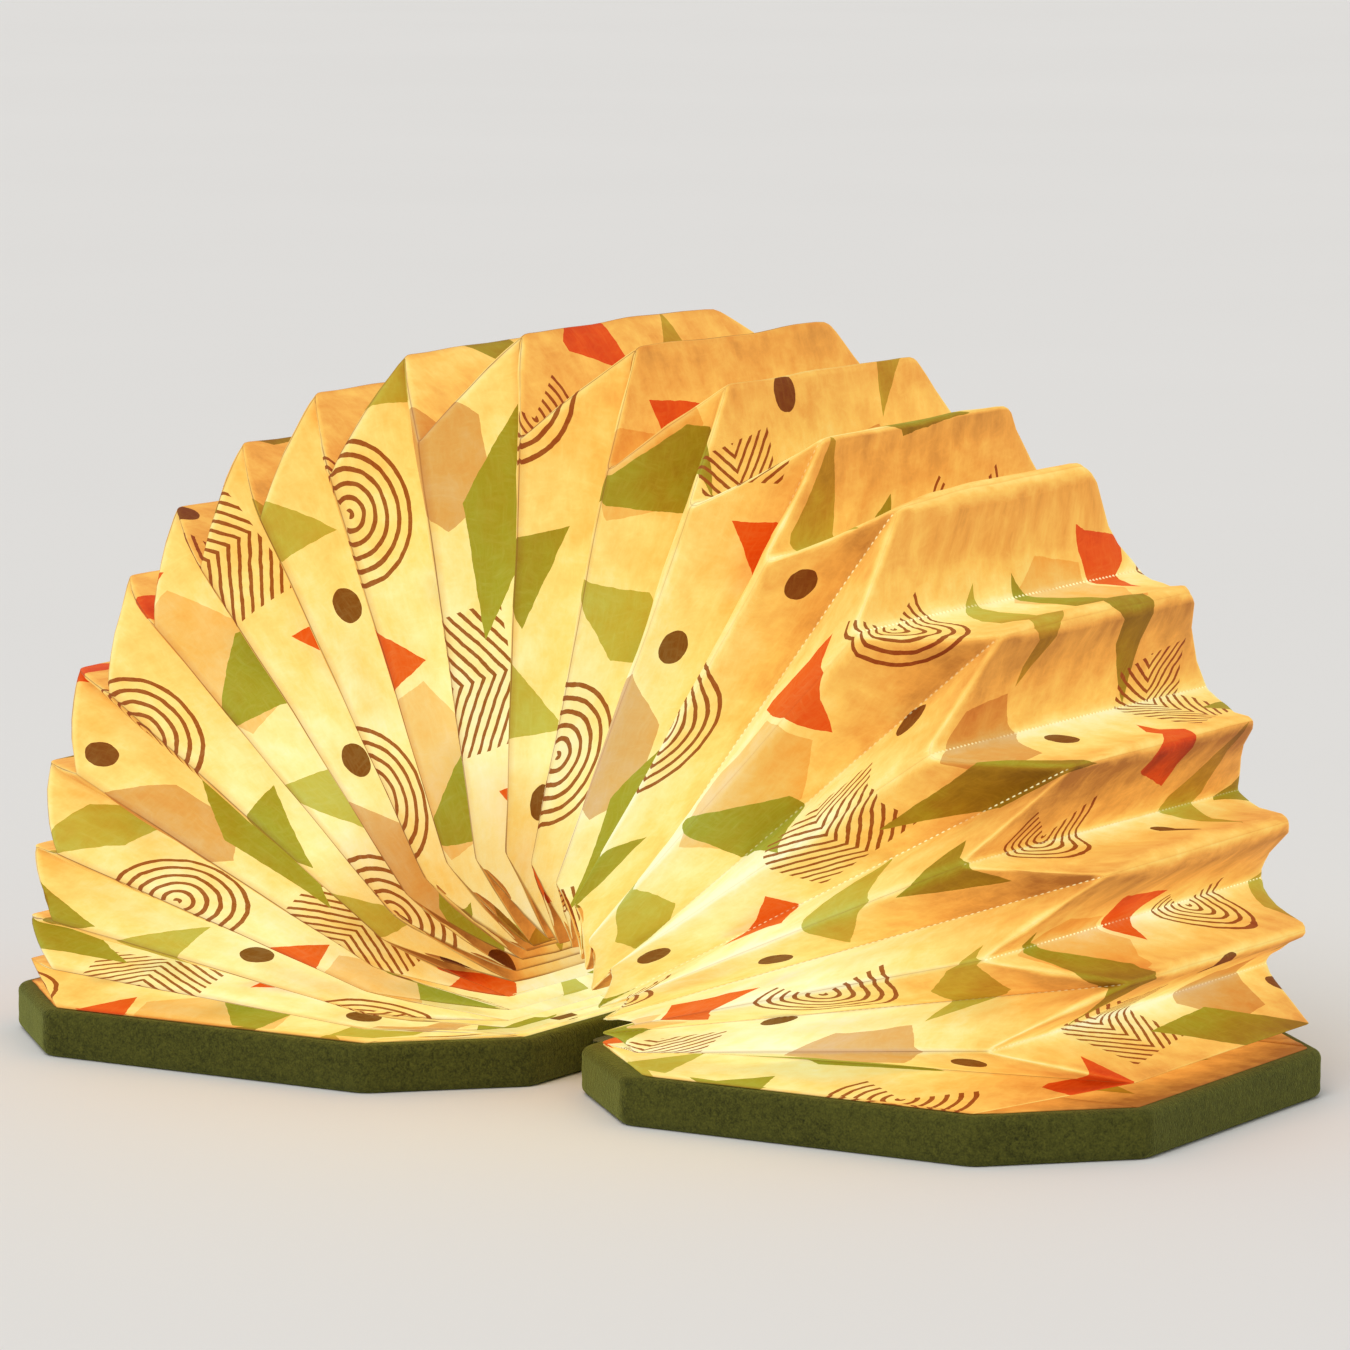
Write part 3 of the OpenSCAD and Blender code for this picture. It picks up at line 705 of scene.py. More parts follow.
def wobble_creases(grid):
    """Moves each crease in and out by a fraction of a millimetre."""
    outwards = unit(grid - grid.mean(axis=1, keepdims=True))
    height = waves(FLAT_U[:, :-1], FLAT_V[:, :-1], 0.03, 0.09)
    return grid + outwards * (height * freedom(ROW_FOLD)[:, None] * CREASE_WOBBLE)[..., None]


def round_creases(grid):
    """Rounds every crease. The slack ridges are fuller as well as rounder, so that
    they still reach as far."""
    rounded = grid.copy()
    for fold in range(2, LAST_FOLD - 1):
        slack = SLACK_RIDGES.get(fold, 0.0) * SLACK_SIDE[:, None]
        row, reach = fold * PANEL_ROWS, crease_reach(fold) + slack
        before, corner, after = grid[row - PANEL_ROWS], grid[row], grid[row + PANEL_ROWS]
        chord = (unit(before - corner) + unit(after - corner)) * reach / 2
        corner = corner - chord * FULLNESS * slack / reach
        for near in range(row - PANEL_ROWS // 2, row + PANEL_ROWS // 2 + 1):
            gap = (ROW_FOLD[near] - fold) * PANEL
            bent = bend(before, corner, after, reach, (1 + gap / reach) / 2)
            rounded[near] = np.where(abs(gap) < reach, bent, rounded[near])
    return rounded


def panel_normals(points):
    """Outward directions for the grid of one panel."""
    across = np.gradient(points, axis=0)
    along = np.roll(points, -1, axis=1) - np.roll(points, 1, axis=1)
    return unit(np.cross(across, along))


def bulge(grid):
    """Pushes the inner rows of each panel outwards, unevenly."""
    full = grid.copy()
    along = np.sqrt(np.clip(np.sin(np.pi * SHARES[:-1]), 0, 1)) * np.isin(SIDES[:-1], (1, 2, 3))
    across = np.sin(np.pi * np.array(ACROSS + [1.0]))[:, None]
    height = waves(FLAT_U[:, :-1], FLAT_V[:, :-1])
    for panel in range(1, LAST_FOLD - 1):
        rows = rows_between(panel, panel + 1)
        push = across * (BELLY * along + PANEL_WAVE * height[rows]) * freedom(panel + 0.5)
        full[rows] = grid[rows] + panel_normals(grid[rows]) * push[..., None]
    return full


grid = bulge(round_creases(wobble_creases(grid)))
print("after rounding and bulging, the top is at", round(grid[..., 2].max() / MM, 1), "mm")

# %% [markdown]
# ## How much light reaches a point of the paper
# Each cover has a board of lights behind a milky plate. The light that a panel
# gets falls off with distance, and depends on how squarely its inner side faces
# the lights. Adding this up over a grid of light points gives soft gradients,
# bright pleats next to dull ones, with no ray tracing.

# %% Light on the inner side
BOARD_START, BOARD_LENGTH, BOARD_WIDTH, LIGHT_HEIGHT = 0.067, 0.096, 0.076, 0.0148
SPOTS = (np.arange(4) + 0.5) / 4
LIGHT_PLACES = np.array([
    (side * (BOARD_START + BOARD_LENGTH * along), BOARD_WIDTH * (across - 0.5), LIGHT_HEIGHT)
    for side in (-1, 1) for along in SPOTS for across in SPOTS])
LIGHT_SOFTNESS, NEAR_SOFTNESS = 0.2, 0.05
FAR_SHARE, NEAR_SHARE, SQUARE_SHARE = 0.18, 0.85, 0.60
# The sums of the light at a dim point and at a bright one, to scale them by.
FAR_DIM, FAR_BRIGHT, NEAR_BRIGHT = 9.0, 17.0, 130
# How much each side glows by itself, fold by fold. The inner side is even.
GLOW_FOLDS = (0, 6, 12, 22, 27, 34, 42)
FRONT_GLOW = (0.32, 0.34, 0.47, 0.57, 0.46, 0.30, 0.25)
OUTER_GLOW = (0.08, 0.08, 0.11, 0.26, 0.39, 0.31, 0.20)
INNER_GLOW = 0.30
# Some panels let a little more light through than others.
PANEL_GLOW = dice.uniform(-0.07, 0.07, LAST_FOLD)


def is_inner(sides):
    return np.isin(sides, (0, 4))


def side_glow(folds, sides):
    front, outer = (np.interp(folds, GLOW_FOLDS, row) for row in (FRONT_GLOW, OUTER_GLOW))
    return np.where(is_inner(sides), INNER_GLOW, np.where(sides == 2, outer, front))


def from_pole(points):
    return np.hypot(points[..., 0], points[..., 2] - POLE_Z)


def steepness(points):
    """0 for paper that lies low over a cover, and 1 for upright pleats."""
    up = np.degrees(np.arctan2(points[..., 2] - POLE_Z, np.abs(points[..., 0])))
    return rise(up, 9, 23)


def crowding(points):
    """1 where the pleats crowd together by the spine, and 0 further out."""
    return rise(from_pole(points), 0.087, 0.052) * steepness(points)


def painted_crowd_shade(points, sides):
    """Painted shade on upright pleats, where they crowd together by the spine."""
    end = rise(np.abs(points[..., 1]), 0.035, 0.07)
    return np.where(is_inner(sides), 0.62 * end * steepness(points), 0.16 * crowding(points))


def painted_rim_highlight(folds):
    """A painted highlight: a pale rim of extra glow along the outer front edge of the
    left pleats."""
    at_edge = (SIDES == 2) & (SHARES == 0)
    return 0.28 * at_edge * rise(folds, 25, 22) * freedom(folds)


def light_on(points, normals):
    """Light from the boards, on points and normals in two long lists."""
    ray = LIGHT_PLACES[None] - points[:, None]
    distance = np.linalg.norm(ray, axis=2)
    falloff = 1 / (distance ** 2 + LIGHT_SOFTNESS ** 2)
    facing = np.clip(-(ray * normals[:, None]).sum(axis=2) / distance, 0, 1)
    squarely = (facing * falloff).sum(axis=1) / falloff.sum(axis=1)
    far = (falloff.mean(axis=1) - FAR_DIM) / (FAR_BRIGHT - FAR_DIM)
    near = (1 / (distance ** 2 + NEAR_SOFTNESS ** 2)).mean(axis=1) / NEAR_BRIGHT
    near *= 1 - 0.6 * steepness(points) * rise(points[:, 0], 0.03, -0.03)
    return FAR_SHARE * far + NEAR_SHARE * near + SQUARE_SHARE * (squarely - 0.4)


def glow_on(points, normals, folds, sides):
    """Glow of the paper at each point, from 0 (dim) to 1 (bright)."""
    light = light_on(points.reshape(-1, 3), normals.reshape(-1, 3))
    slack, low_right = rise(folds, 23, 28), rise(folds, 28, 34)
    valley = 1 - np.abs(folds % 2 - 1)
    falloff = (0.09 + 0.10 * slack + 0.24 * low_right) * rise(from_pole(points), 0.10, 0.22)
    # The glow also holds a painted highlight on the left pleats' rim and painted shade where pleats
    # crowd by the spine.
    return (light.reshape(points.shape[:-1]) + side_glow(folds, sides) + painted_rim_highlight(folds)
            + 0.09 + 0.04 * slack + 0.20 * slack * (valley - 0.5)
            - falloff - painted_crowd_shade(points, sides))


print("light from", len(LIGHT_PLACES), "points, and", len(PANEL_GLOW), "panels that differ a little")

# %% Where light leaks through pricked creases, and where creases get painted shade lines
def leak_on(folds, sides):
    """1 on the creases whose perforation shows, and 0 elsewhere."""
    fold = np.round(folds)
    on_ridge = (fold % 2 == 0) & (sides == 1)
    in_valley = (fold % 2 == 1) & (sides == 2)
    slack = rise(fold, 27, 30) * rise(fold, LAST_FOLD - 2, LAST_FOLD - 4)
    return slack * (on_ridge | in_valley) * (0.65 + 0.35 * np.sin(fold * 2.1))


def outline_on(points, folds, sides):
    """How strongly the painted shade line of a crease shows: most where pleats crowd
    by the spine, least on the slack right pleats, and not at all low on the inner side."""
    slack, again = rise(folds, 23, 29), rise(folds, 33, 38) * (sides != 2)
    strength = 1.0 - 0.78 * slack + 0.55 * again + 1.9 * crowding(points) * (1 - slack)
    return np.where(is_inner(sides), strength * steepness(points), strength)


leaking = leak_on(np.arange(LAST_FOLD + 1)[:, None], np.array([1, 2])).max(axis=1) > 0.5
print("creases that leak light:", np.flatnonzero(leaking).tolist())

# %% Build the two halves of the shade
def closed(table):
    """Repeats the first column at the end, to close the ring."""
    return np.concatenate([table, table[:, :1]], axis=1)


def by_corner(table):
    """Values of a panel's grid, in the order of its faces' corners."""
    return np.stack([table[:-1, :-1], table[1:, :-1], table[1:, 1:], table[:-1, 1:]],
                    axis=2).reshape(-1, *table.shape[2:])


def corner_values(panels):
    """The flat map and the four marks of every face corner."""
    on_mitre = ((SHARES == 0) & (SIDES > 0)).astype(float)
    tables = []
    for panel in panels:
        rows = rows_between(panel, panel + 1)
        points, normals = closed(grid[rows]), closed(panel_normals(grid[rows]))
        sides, folds, mitre = (np.broadcast_to(values, points.shape[:2])
                               for values in (SIDES, ROW_FOLD[rows, None], on_mitre))
        tables.append([by_corner(table) for table in (
            np.stack([FLAT_U[rows], FLAT_V[rows]], axis=2),
            glow_on(points, normals, folds, sides) + PANEL_GLOW[panel],
            leak_on(folds, sides), mitre, outline_on(points, folds, sides))])
    return [np.concatenate(values).astype(np.float32) for values in zip(*tables)]


def build_half(name, first_fold, last_fold):
    points = grid[rows_between(first_fold, last_fold)]
    shade = new_piece(name, points.reshape(-1, 3).tolist(),
                      grid_faces(len(points) - 1, AROUND), PAPER)
    mesh = shade.data
    mesh.uv_layers.new(name="flat_sheet")
    for label in MARKS:
        mesh.attributes.new(label, "FLOAT", "CORNER")
    flat, *values = corner_values(range(first_fold, last_fold))
    mesh.uv_layers["flat_sheet"].data.foreach_set("uv", flat.ravel())
    for label, column in zip(MARKS, values):
        mesh.attributes[label].data.foreach_set("value", column)
    print(name, "has", len(mesh.polygons), "faces")
    return shade


shade_left = build_half("shade_left", 0, MIDDLE_FOLD)
shade_right = build_half("shade_right", MIDDLE_FOLD, LAST_FOLD)

# %% Make the sheet a real thickness
PAPER_THICKNESS = 0.00028
for shade in (shade_left, shade_right):
    skin = shade.modifiers.new("paper thickness", "SOLIDIFY")
    skin.thickness = PAPER_THICKNESS
    skin.offset = -1.0
print("paper", round(PAPER_THICKNESS / MM, 2), "mm thick")

# %% [markdown]
# ## Placing the two halves of the shade
# Each half of the shade hangs between a cover and the middle pleat, which are two
# bodies of the CAD model. Each half's placement is baked into its points, and the
# CAD leaf and pleats that it stands for are hidden.

# %% Bake each half's placement into its points, and hide the CAD paper
def blend_by_angle(shade, first_fold, last_fold):
    """Bakes the half's placement into its points and looks up the folds of its rows."""
    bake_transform(shade)
    folds = ROW_FOLD[rows_between(first_fold, last_fold)]


blend_by_angle(shade_left, 0, MIDDLE_FOLD)
blend_by_angle(shade_right, MIDDLE_FOLD, LAST_FOLD)
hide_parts("end_leaf_left", *[f"pleat_{k:02d}" for k in range(1, 12)])
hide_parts("end_leaf_right", *[f"pleat_{k:02d}" for k in range(12, 21)])

# %% How wide each half of the sheet is at each fold, before it was folded
def declare_cut(first_fold, last_fold):
    """A half is a strip glued to its end panel, a little wider at some folds."""
    widths = np.ptp(FLAT_U[rows_between(first_fold, last_fold)], axis=1)[::PANEL_ROWS]


declare_cut(0, MIDDLE_FOLD)
declare_cut(MIDDLE_FOLD, LAST_FOLD)

# %% [markdown]
# ## Velvet over the covers
# A cover is a moulded tray inside a wrap of short-pile velvet that is turned in
# over its rim. The wrap is lofted: one rounded outline, drawn again and again at
# other heights and insets, and joined ring to ring. That gives soft edges all
# round, and the same outline as the CAD solid.

# %% A rounded outline with cut corners
COVER_LENGTH, COVER_HALF, COVER_THICK = 0.210, 0.103, 0.016
CORNER_CUT = 0.041
HINGE_X = 0.009
BEND_RADIUS, LEAST_RADIUS = 0.009, 0.0008
BEND_STEPS, STEP_LENGTH = 7, 0.0045


def cut_corners(inset):
    """The eight corners of a cover's outline, moved inwards by inset."""
    start, end, half = inset, COVER_LENGTH - inset, COVER_HALF - inset
    cut = CORNER_CUT - inset * (2 - math.sqrt(2))
    return [Vector(p) for p in (
        (start + cut, -half), (end - cut, -half), (end, cut - half), (end, half - cut),
        (end - cut, half), (start + cut, half), (start, half - cut), (start, cut - half))]


def rotate(vector, angle):
    c, s = math.cos(angle), math.sin(angle)
    return Vector((vector.x * c - vector.y * s, vector.x * s + vector.y * c))


def corner_arc(before, corner, after, radius):
    """The arc that rounds a corner, as points."""
    before, after = (before - corner).normalized(), (after - corner).normalized()
    half_angle = before.angle(after) / 2
    centre = corner + (before + after).normalized() * radius / math.sin(half_angle)
    start = corner + before * (radius / math.tan(half_angle)) - centre
    turn = math.pi - 2 * half_angle
    return [centre + rotate(start, turn * k / BEND_STEPS) for k in range(BEND_STEPS + 1)]


def outline(inset):
    """The rounded outline, always with the same number of points."""
    corners, full = cut_corners(inset), cut_corners(0.0)
    radius = max(BEND_RADIUS - inset, LEAST_RADIUS)
    arcs = [corner_arc(corners[i - 1], corner, corners[(i + 1) % 8], radius)
            for i, corner in enumerate(corners)]
    points = []
    for i, arc in enumerate(arcs):
        points += arc
        following = arcs[(i + 1) % 8][0]
        steps = max(round((full[(i + 1) % 8] - full[i]).length / STEP_LENGTH), 2)
        points += [arc[-1].lerp(following, k / steps) for k in range(1, steps)]
    return points


print("points round a cover:", len(outline(0.0)))

# %% Velvet finish
def make_velvet(name, dark, pale):
    material, w, shader = new_finish(
        name, Roughness=0.95, Specular_IOR_Level=0.15,
        Sheen_Weight=0.45, Sheen_Roughness=0.38, Sheen_Tint=(0.66, 0.72, 0.16))
    pile = w.group(PILE, Point=w.object_point())
    patches = w.mix(w.times(pile["Lean"], 0.30), dark, pale)
    w.fill(shader.inputs, Base_Color=w.mix(w.times(pile["Tufts"], 0.85), patches, pale),
           Normal=w.bump(pile["Height"], 0.0009, 0.9))
    return material


VELVET = make_velvet("Olive velvet", (0.014, 0.016, 0.003), (0.118, 0.118, 0.018))
print("velvet finish:", len(VELVET.node_tree.nodes), "nodes")

# %% Loft the wrap of a cover
EDGE = 0.003
WRAP = 0.0012
TURN_IN = 0.010
SIDE_CROWN, SIDE_STEPS = 0.00025, 5
FLAT_INSETS = (0.012, 0.040)
FUZZ, FUZZ_MARGIN = 0.00005, 0.0005


def rounded_edge(radius, degrees, base=0.0):
    """Inset and height along a rounded lower edge: 0 degrees is under the cover,
    and 90 is on its side."""
    turns = [math.radians(turn) for turn in degrees]
    return [(base + radius * (1 - math.sin(t)), base + radius * (1 - math.cos(t)))
            for t in turns]


def turned_up(rings):
    return [(inset, COVER_THICK - height) for inset, height in reversed(rings)]


def wrap_profile():
    """Inset and height of each ring: under the cover, up its side, over the rim,
    and back inside the wrap."""
    near, deep = FLAT_INSETS
    low = rounded_edge(EDGE, range(0, 91, 18))
    side = [(SIDE_CROWN - SIDE_CROWN * math.sin(math.pi * k / SIDE_STEPS),
             EDGE + (COVER_THICK - 2 * EDGE) * k / SIDE_STEPS) for k in range(1, SIDE_STEPS)]
    rim = [(TURN_IN - 0.0035, COVER_THICK), (TURN_IN - 0.0005, COVER_THICK - 0.0001),
           (TURN_IN, COVER_THICK - 0.0006), (TURN_IN - 0.0001, COVER_THICK - WRAP)]
    inside = rounded_edge(EDGE - WRAP, (90, 45, 0), WRAP)
    return [(deep, 0.0), (near, 0.0), *low, *side, *turned_up(low), *rim,
            *turned_up(inside), *inside, (near, WRAP), (deep, WRAP)]


def loft_wrap(name, side):
    """side is 1 for the right cover and -1 for the left one."""
    profile = wrap_profile()
    dice = random.Random(5)
    points = []
    for inset, height in profile:
        fuzzy = FUZZ_MARGIN < height < COVER_THICK - FUZZ_MARGIN
        for spot in outline(inset):
            fuzz = FUZZ * dice.uniform(-1, 1) if fuzzy else 0.0
            points.append((side * (spot.x + HINGE_X + fuzz), spot.y + fuzz, height))
    around = len(points) // len(profile)
    faces = turned_over(grid_faces(len(profile) - 1, around))
    faces.append(tuple(range(around))[::-1])
    faces.append(tuple(range(len(points) - around, len(points))))
    if side < 0:
        faces = [face[::-1] for face in faces]
    return new_piece(name, points, faces, VELVET)


wrap_left = loft_wrap("velvet_wrap_left", -1)
wrap_right = loft_wrap("velvet_wrap_right", 1)
print("each wrap has", len(wrap_left.data.vertices), "points")

# %% [markdown]
# ## Openings in the velvet
# The ribbon leaves each cover through a slot in its spine edge, and the left
# cover has a charging socket and a button in its rear edge. A Boolean modifier
# cuts each opening with a simple cutter, and is then applied, so that the wrap
# stays one plain mesh.

# %% Cut the openings
SLOT_HEIGHT, SLOT = 0.01005, (0.006, 0.011, 0.0013)
SOCKET_PLACE, SOCKET = (-0.088, COVER_HALF, 0.0086), (0.0095, 0.008, 0.0038)
BUTTON_PLACE, BUTTON = (-0.107, COVER_HALF, 0.0088), (0.0065, 0.008, 0.0065)


def make_cutter(kind, centre, size):
    """A box, or a round bar along Y, to cut with."""
    if kind == "box":
        bpy.ops.mesh.primitive_cube_add(size=1, location=centre)
    else:
        bpy.ops.mesh.primitive_cylinder_add(
            vertices=24, radius=0.5, depth=1, location=centre, rotation=(math.pi / 2, 0, 0))
        size = (size[0], size[2], size[1])
    cutter = bpy.context.object
    cutter.scale = size
    bpy.context.view_layer.update()
    return cutter


def cut(piece, cutters):
    for cutter in cutters:
        hole = piece.modifiers.new("opening", "BOOLEAN")
        hole.operation, hole.object, hole.solver = "DIFFERENCE", cutter, "EXACT"
    bpy.context.view_layer.update()
    seen = piece.evaluated_get(bpy.context.evaluated_depsgraph_get())
    mesh = bpy.data.meshes.new_from_object(seen)
    piece.modifiers.clear()
    piece.data = mesh
    for cutter in cutters:
        bpy.data.objects.remove(cutter)
    print(piece.name, "has", len(mesh.polygons), "faces; openings cut:", len(cutters))


cut(wrap_right, [make_cutter("box", (HINGE_X, 0, SLOT_HEIGHT), SLOT)])
cut(wrap_left, [make_cutter("box", (-HINGE_X, 0, SLOT_HEIGHT), SLOT),
                make_cutter("box", SOCKET_PLACE, SOCKET),
                make_cutter("bar", BUTTON_PLACE, BUTTON)])
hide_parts("cover_velvet_left")
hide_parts("cover_velvet_right")
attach(wrap_left, "cover_left")
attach(wrap_right, "cover_right")

# %% [markdown]
# ## The soft spine
# Between the covers lies a strip of the same velvet with a thin cloth lining over
# it. The CAD model says where each lies and how thick it is. So each is a flat
# grid with rounded ends, which modifiers give its thickness and a soft edge.

# %% Lining cloth finish
def make_lining_cloth():
    material, w, shader = new_finish("Lining cloth", Roughness=0.85, Sheen_Weight=0.15)
    threads = w.vector("MULTIPLY", w.object_point(), (5200.0,) * 3)
    x, y = w.split(threads)[:2]
    weave = w.times(w.math("SINE", x), w.math("SINE", y))
    worn = w.stretch(w.noise(w.object_point(), 90.0, 4.0), 0.45, 0.75, 0.0, 0.35)
    colour = w.mix(w.stretch(weave, -0.6, 0.6), (0.075, 0.085, 0.030), (0.150, 0.160, 0.065))
    w.fill(shader.inputs, Base_Color=w.mix(worn, colour, (0.21, 0.20, 0.10)),
           Normal=w.bump(weave, 0.0001, 0.6))
    return material


LINING = make_lining_cloth()
print("lining finish:", len(LINING.node_tree.nodes), "nodes")

# %% Two strips of the spine
END_LENGTH, END_INSET = 0.004, 0.002


def spine_strip(node, name, finish, rows=30, columns=10):
    """A soft strip in the place of a CAD node, with rounded ends."""
    low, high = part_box(node)
    middle, thick = (low.z + high.z) / 2, high.z - low.z
    points = []
    for row in range(rows + 1):
        y = high.y * (2 * row / rows - 1)
        near_end = max(0.0, 1 - (high.y - abs(y)) / END_LENGTH)
        width = high.x - END_INSET * near_end ** 2
        points += [(width * (2 * column / columns - 1), y, middle)
                   for column in range(columns + 1)]
    faces = turned_over(grid_faces(rows, columns + 1, ring=False))
    strip = new_piece(name, points, faces, finish)
    body = strip.modifiers.new("thickness", "SOLIDIFY")
    body.thickness, body.offset = thick, 0.0
    soft = strip.modifiers.new("soft edge", "BEVEL")
    soft.width, soft.segments = thick * 0.3, 2
    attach(strip, "spine")
    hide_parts(node)
    print(name, "is", round(thick / MM, 2), "mm thick and", round(high.y * 2 / MM), "mm long")


spine_strip("spine_strip", "spine_velvet", VELVET)
spine_strip("spine_lining", "spine_cloth_lining", LINING)

# %% [markdown]
# ## Finishes for the pieces inside
# The CAD solids inside the covers already have the right shape, so they keep it
# and only get finishes. Plastics share the moulded grain and metals share the
# drawn scratches. A circuit board's tracks are coordinates folded back and forth,
# and its pads are the middles of a cell texture.

# %% Plastics and metals
def make_plastic(name, colour, worn, roughness):
    material, w, shader = new_finish(name)
    grain = w.group(GRAIN, Point=w.object_point())
    w.fill(shader.inputs, Base_Color=w.mix(w.times(grain["Rub"], 0.5), colour, worn),
           Roughness=w.stretch(grain["Height"], 0.2, 0.8, roughness - 0.08, roughness + 0.08),
           Normal=w.bump(grain["Height"], 0.00005, 0.5))
    return material


def make_metal(name, colour, dull, roughness):
    material, w, shader = new_finish(name, Metallic=1.0)
    drawn = w.group(DRAWN, Point=w.object_point())
    w.fill(shader.inputs, Base_Color=w.mix(w.times(drawn["Dull"], 0.4), colour, dull),
           Roughness=w.stretch(drawn["Scratches"], 0.3, 0.7, roughness - 0.08, roughness + 0.12),
           Normal=w.bump(drawn["Scratches"], 0.00002, 0.4))
    return material


# Each finish is kept under the name of the CAD node that it is for.
FINISHES = {
    "cover_tray": make_plastic(
        "Tray plastic", (0.055, 0.056, 0.058), (0.11, 0.11, 0.11), 0.55),
    "inner_panel": make_plastic(
        "White panel plastic", (0.78, 0.76, 0.70), (0.88, 0.86, 0.80), 0.45),
    "switch_body": make_plastic(
        "Switch plastic", (0.018, 0.018, 0.019), (0.05, 0.05, 0.05), 0.4),
    "switch_plunger": make_plastic(
        "Plunger plastic", (0.74, 0.74, 0.72), (0.84, 0.84, 0.82), 0.35),
    "panel_screws": make_metal(
        "Zinc-plated steel", (0.66, 0.66, 0.68), (0.46, 0.46, 0.47), 0.28),
    "magnets": make_metal("Nickel plate", (0.72, 0.70, 0.66), (0.55, 0.53, 0.50), 0.2),
    "button_cap": make_metal("Satin brass", (0.62, 0.47, 0.22), (0.44, 0.32, 0.15), 0.3),
    "battery": make_metal(
        "Battery pouch foil", (0.60, 0.61, 0.62), (0.42, 0.43, 0.44), 0.36),
}
FINISHES["charging_socket"] = FINISHES["panel_screws"]
print("plastics and metals for", ", ".join(FINISHES))

# %% Circuit boards
TRACK_PITCH, TRACK_HALF = 0.0008, 0.0002
TINNED = (0.70, 0.70, 0.66)


def make_board(name, mask, track):
    """Solder mask over copper tracks, with tinned pads showing through."""
    material, w, shader = new_finish(name, Roughness=0.35, Coat_Weight=0.3)
    point = w.object_point()
    squares = w.vector("SNAP", point, (0.0016, 0.0016, 1.0))
    is_x = w.math("GREATER_THAN", w.noise(squares, 210.0, 0.0), 0.5)
    runs_x, runs_y = (
        w.math("LESS_THAN", w.math("PINGPONG", side, TRACK_PITCH), TRACK_HALF)
        for side in w.split(point)[:2])
    tracks = w.math("ADD", w.times(runs_x, is_x),
                    w.times(runs_y, w.math("SUBTRACT", 1.0, is_x)))
    spots = w.node("ShaderNodeTexVoronoi", {
        "Vector": point, "Scale": 230.0, "Randomness": 0.6}).outputs["Distance"]
    pads = w.math("LESS_THAN", spots, 0.14)
    coloured = w.mix(w.times(tracks, 0.6), mask, track)
    w.fill(shader.inputs, Base_Color=w.mix(pads, coloured, TINNED), Metallic=pads,
           Normal=w.bump(tracks, 0.00004, 0.5))
    return material


FINISHES["light_board"] = make_board(
    "White light board", (0.80, 0.80, 0.78), (0.66, 0.66, 0.62))
FINISHES["control_board"] = make_board(
    "Green control board", (0.012, 0.105, 0.040), (0.035, 0.20, 0.075))
print("board finish:", len(FINISHES["light_board"].node_tree.nodes), "nodes")

# %% Lights, diffuser, foam, leads and ribbon
def make_speckled(name, first, second, scale, roughness, bump=0.0001, lit=0.0):
    """A finish with two colours in a fine mottle, for foam, rubber and phosphor."""
    material, w, shader = new_finish(name, Roughness=roughness)
    fine = w.noise(w.object_point(), scale, 4.0, 0.6)
    broad = w.noise(w.object_point(), scale * 0.08, 3.0)
    share = w.times_plus(w.stretch(fine, 0.3, 0.7), 0.7, w.times(broad, 0.3))
    colour = w.mix(share, first, second)
    w.fill(shader.inputs, Base_Color=colour, Normal=w.bump(fine, bump, 0.6))
    if lit:
        w.fill(shader.inputs, Emission_Color=colour, Emission_Strength=lit)
    return material


def make_ribbon():
    material, w, shader = new_finish("Ribbon film", Roughness=0.3, Coat_Weight=0.4)
    y = w.split(w.object_point())["Y"]
    copper = w.math("LESS_THAN", w.math("PINGPONG", y, 0.00125), 0.0007)
    haze = w.stretch(w.noise(w.object_point(), 300.0, 4.0), 0.3, 0.7)
    film = w.mix(haze, (0.42, 0.15, 0.02), (0.56, 0.24, 0.04))
    w.fill(shader.inputs, Base_Color=w.mix(w.times(copper, 0.7), film, (0.62, 0.30, 0.14)),
           Normal=w.bump(copper, 0.00003, 0.4))
    return material


FINISHES["lights"] = make_speckled(
    "Light phosphor", (0.90, 0.62, 0.12), (1.0, 0.85, 0.35), 2500.0, 0.4, lit=0.8)
FINISHES["diffuser"] = make_speckled(
    "Milky diffuser", (0.92, 0.82, 0.58), (1.0, 0.93, 0.72), 900.0, 0.5, lit=0.7)
FINISHES["battery_pad"] = make_speckled(
    "Black foam", (0.012, 0.012, 0.012), (0.05, 0.05, 0.05), 1600.0, 0.95, bump=0.0003)
FINISHES["battery_leads"] = FINISHES["light_leads"] = make_speckled(
    "Red lead rubber", (0.34, 0.016, 0.012), (0.48, 0.04, 0.03), 700.0, 0.5)
FINISHES["ribbon"] = make_ribbon()
print("finishes for", len(FINISHES), "kinds of CAD node")

# %% Give each CAD node its finish
def finish_of(node):
    """A node's finish, by its own name or by its name without its side."""
    family = node
    for ending in ("_left", "_right", "_spine"):
        family = family.removesuffix(ending)
    return FINISHES.get(node) or FINISHES.get(family)


dressed, bare = [], []
for name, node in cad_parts.items():
    if node.hide_render:
        continue
    finish = finish_of(name)
    (bare if finish is None else dressed).append(name)
    if finish is not None:
        node.data.materials.clear()
        node.data.materials.append(finish)
print(len(dressed), "CAD nodes have finishes; without one:", bare)

# %% The foam pad under the battery
print("the foam pad under the battery has its finish")

# %% [markdown]
# ## Floor, light and camera
# The floor is plain and pale. The world gives an even light and one large soft
# sun gives direction, so that a colour comes out about as it is written. The
# camera stands well back with a long lens, a little above the lamp and to the
# right of its middle.

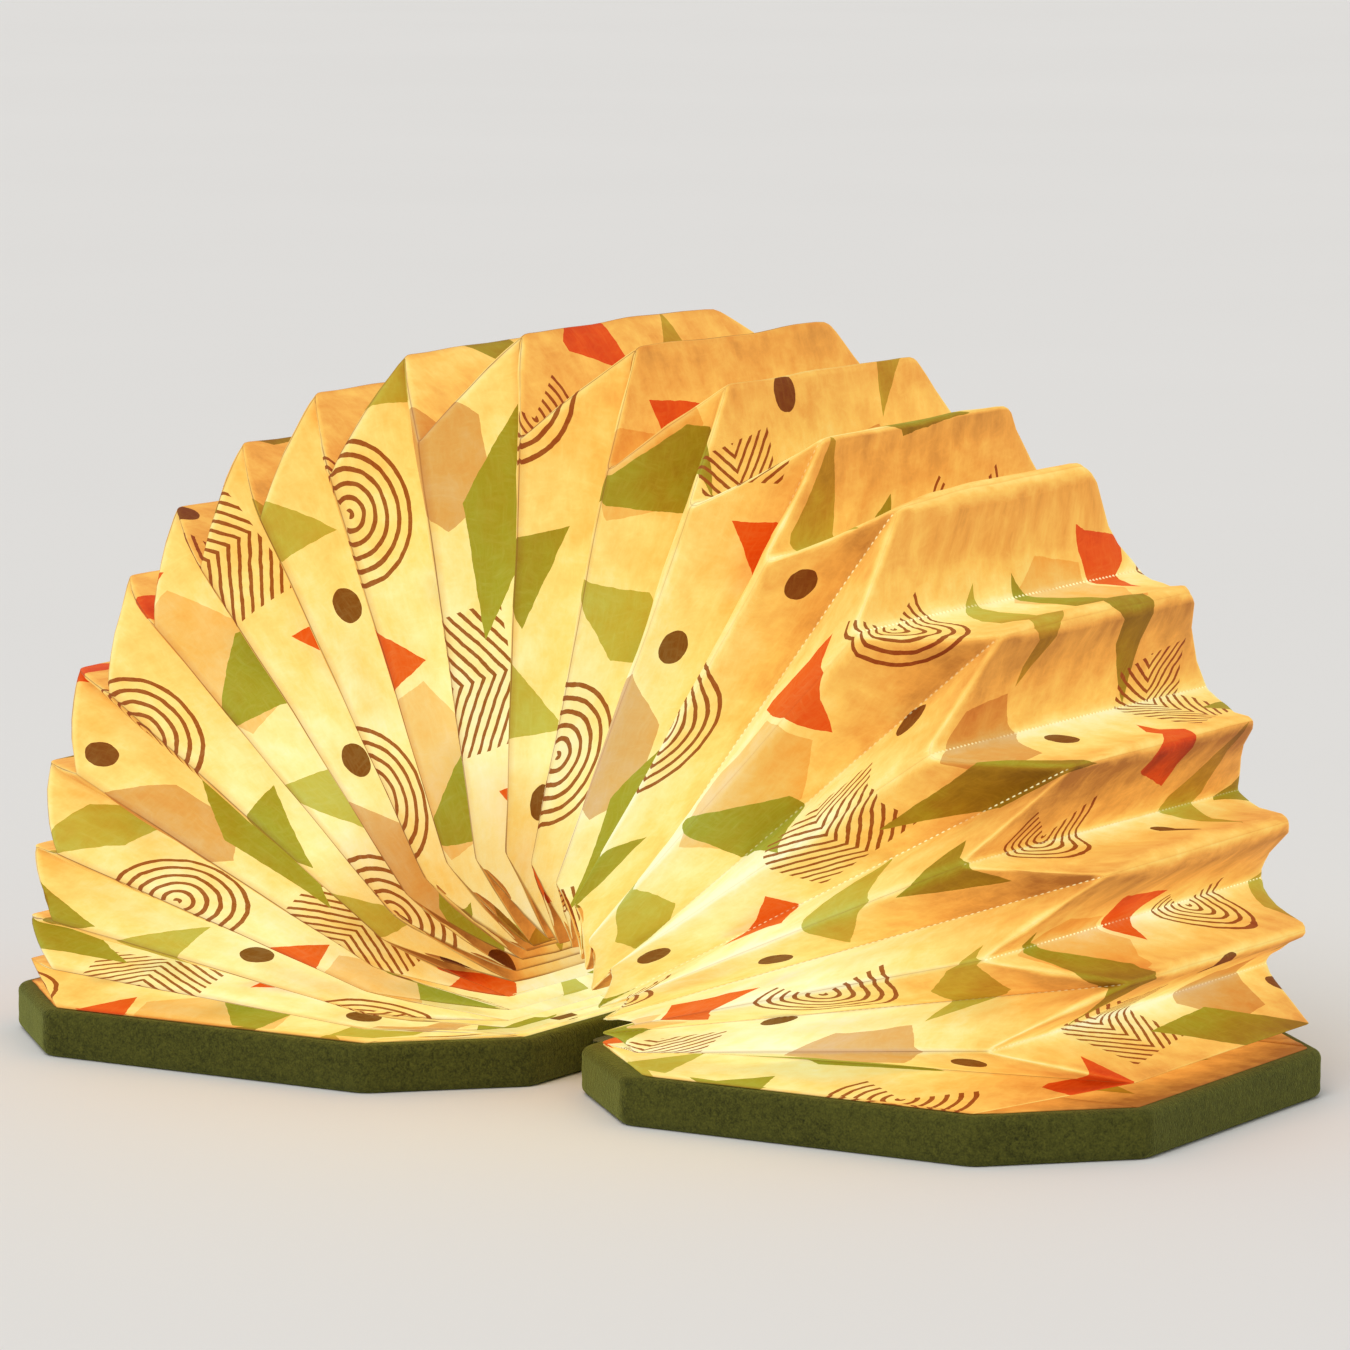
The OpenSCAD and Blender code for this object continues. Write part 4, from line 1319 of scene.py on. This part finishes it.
# %% Floor
def make_floor():
    bpy.ops.mesh.primitive_plane_add(size=30, location=(0, 0, 0))
    floor = bpy.context.object
    floor.name = "floor"
    material, w, shader = new_finish("Pale floor", Roughness=0.8)
    cloud = w.noise(w.object_point(), 1.5, 3.0)
    w.fill(shader.inputs, Base_Color=w.mix(cloud, (0.80, 0.79, 0.77), (0.83, 0.82, 0.80)))
    floor.data.materials.append(material)
    return floor


floor = make_floor()
print(floor.name, "is ready")

# %% World and sun
scene = bpy.context.scene
scene.view_settings.view_transform = "Standard"
world = bpy.data.worlds.new("even light")
scene.world = world
world.use_nodes = True
sky = world.node_tree.nodes["Background"]
sky.inputs["Color"].default_value = (0.98, 0.97, 0.96, 1.0)
sky.inputs["Strength"].default_value = 0.62

sun_data = bpy.data.lights.new("soft sun", "SUN")
sun_data.energy = 1.25
sun_data.angle = math.radians(35)
sun = bpy.data.objects.new("soft sun", sun_data)
sun.rotation_euler = (math.radians(38), math.radians(-14), math.radians(20))
scene.collection.objects.link(sun)
print("an even world and one sun")

# %% Camera
VIEW_YAW, VIEW_PITCH, VIEW_ROLL = 31.01, 7.56, 0.24
VIEW_DISTANCE = 2.42586
VIEW_TARGET = Vector((0.00752, 0.0, 0.13153))
IMAGE_SIDE, FOCAL_PIXELS = 1350, 7273.48


def place_camera():
    yaw, pitch = math.radians(VIEW_YAW), math.radians(VIEW_PITCH)
    back = Vector((math.sin(yaw) * math.cos(pitch), -math.cos(yaw) * math.cos(pitch),
                   math.sin(pitch)))
    lens = bpy.data.cameras.new("camera")
    lens.sensor_width = 36.0
    lens.lens = lens.sensor_width * FOCAL_PIXELS / IMAGE_SIDE
    lens.clip_start, lens.clip_end = 0.1, 50.0
    camera = bpy.data.objects.new("camera", lens)
    scene.collection.objects.link(camera)
    camera.location = VIEW_TARGET + back * VIEW_DISTANCE
    facing = (-back).to_track_quat("-Z", "Y").to_matrix().to_4x4()
    roll = Matrix.Rotation(math.radians(VIEW_ROLL), 4, "Z")
    camera.rotation_euler = (facing @ roll).to_euler()
    scene.camera = camera
    return camera


camera = place_camera()
print("lens:", round(camera.data.lens, 1), "mm")
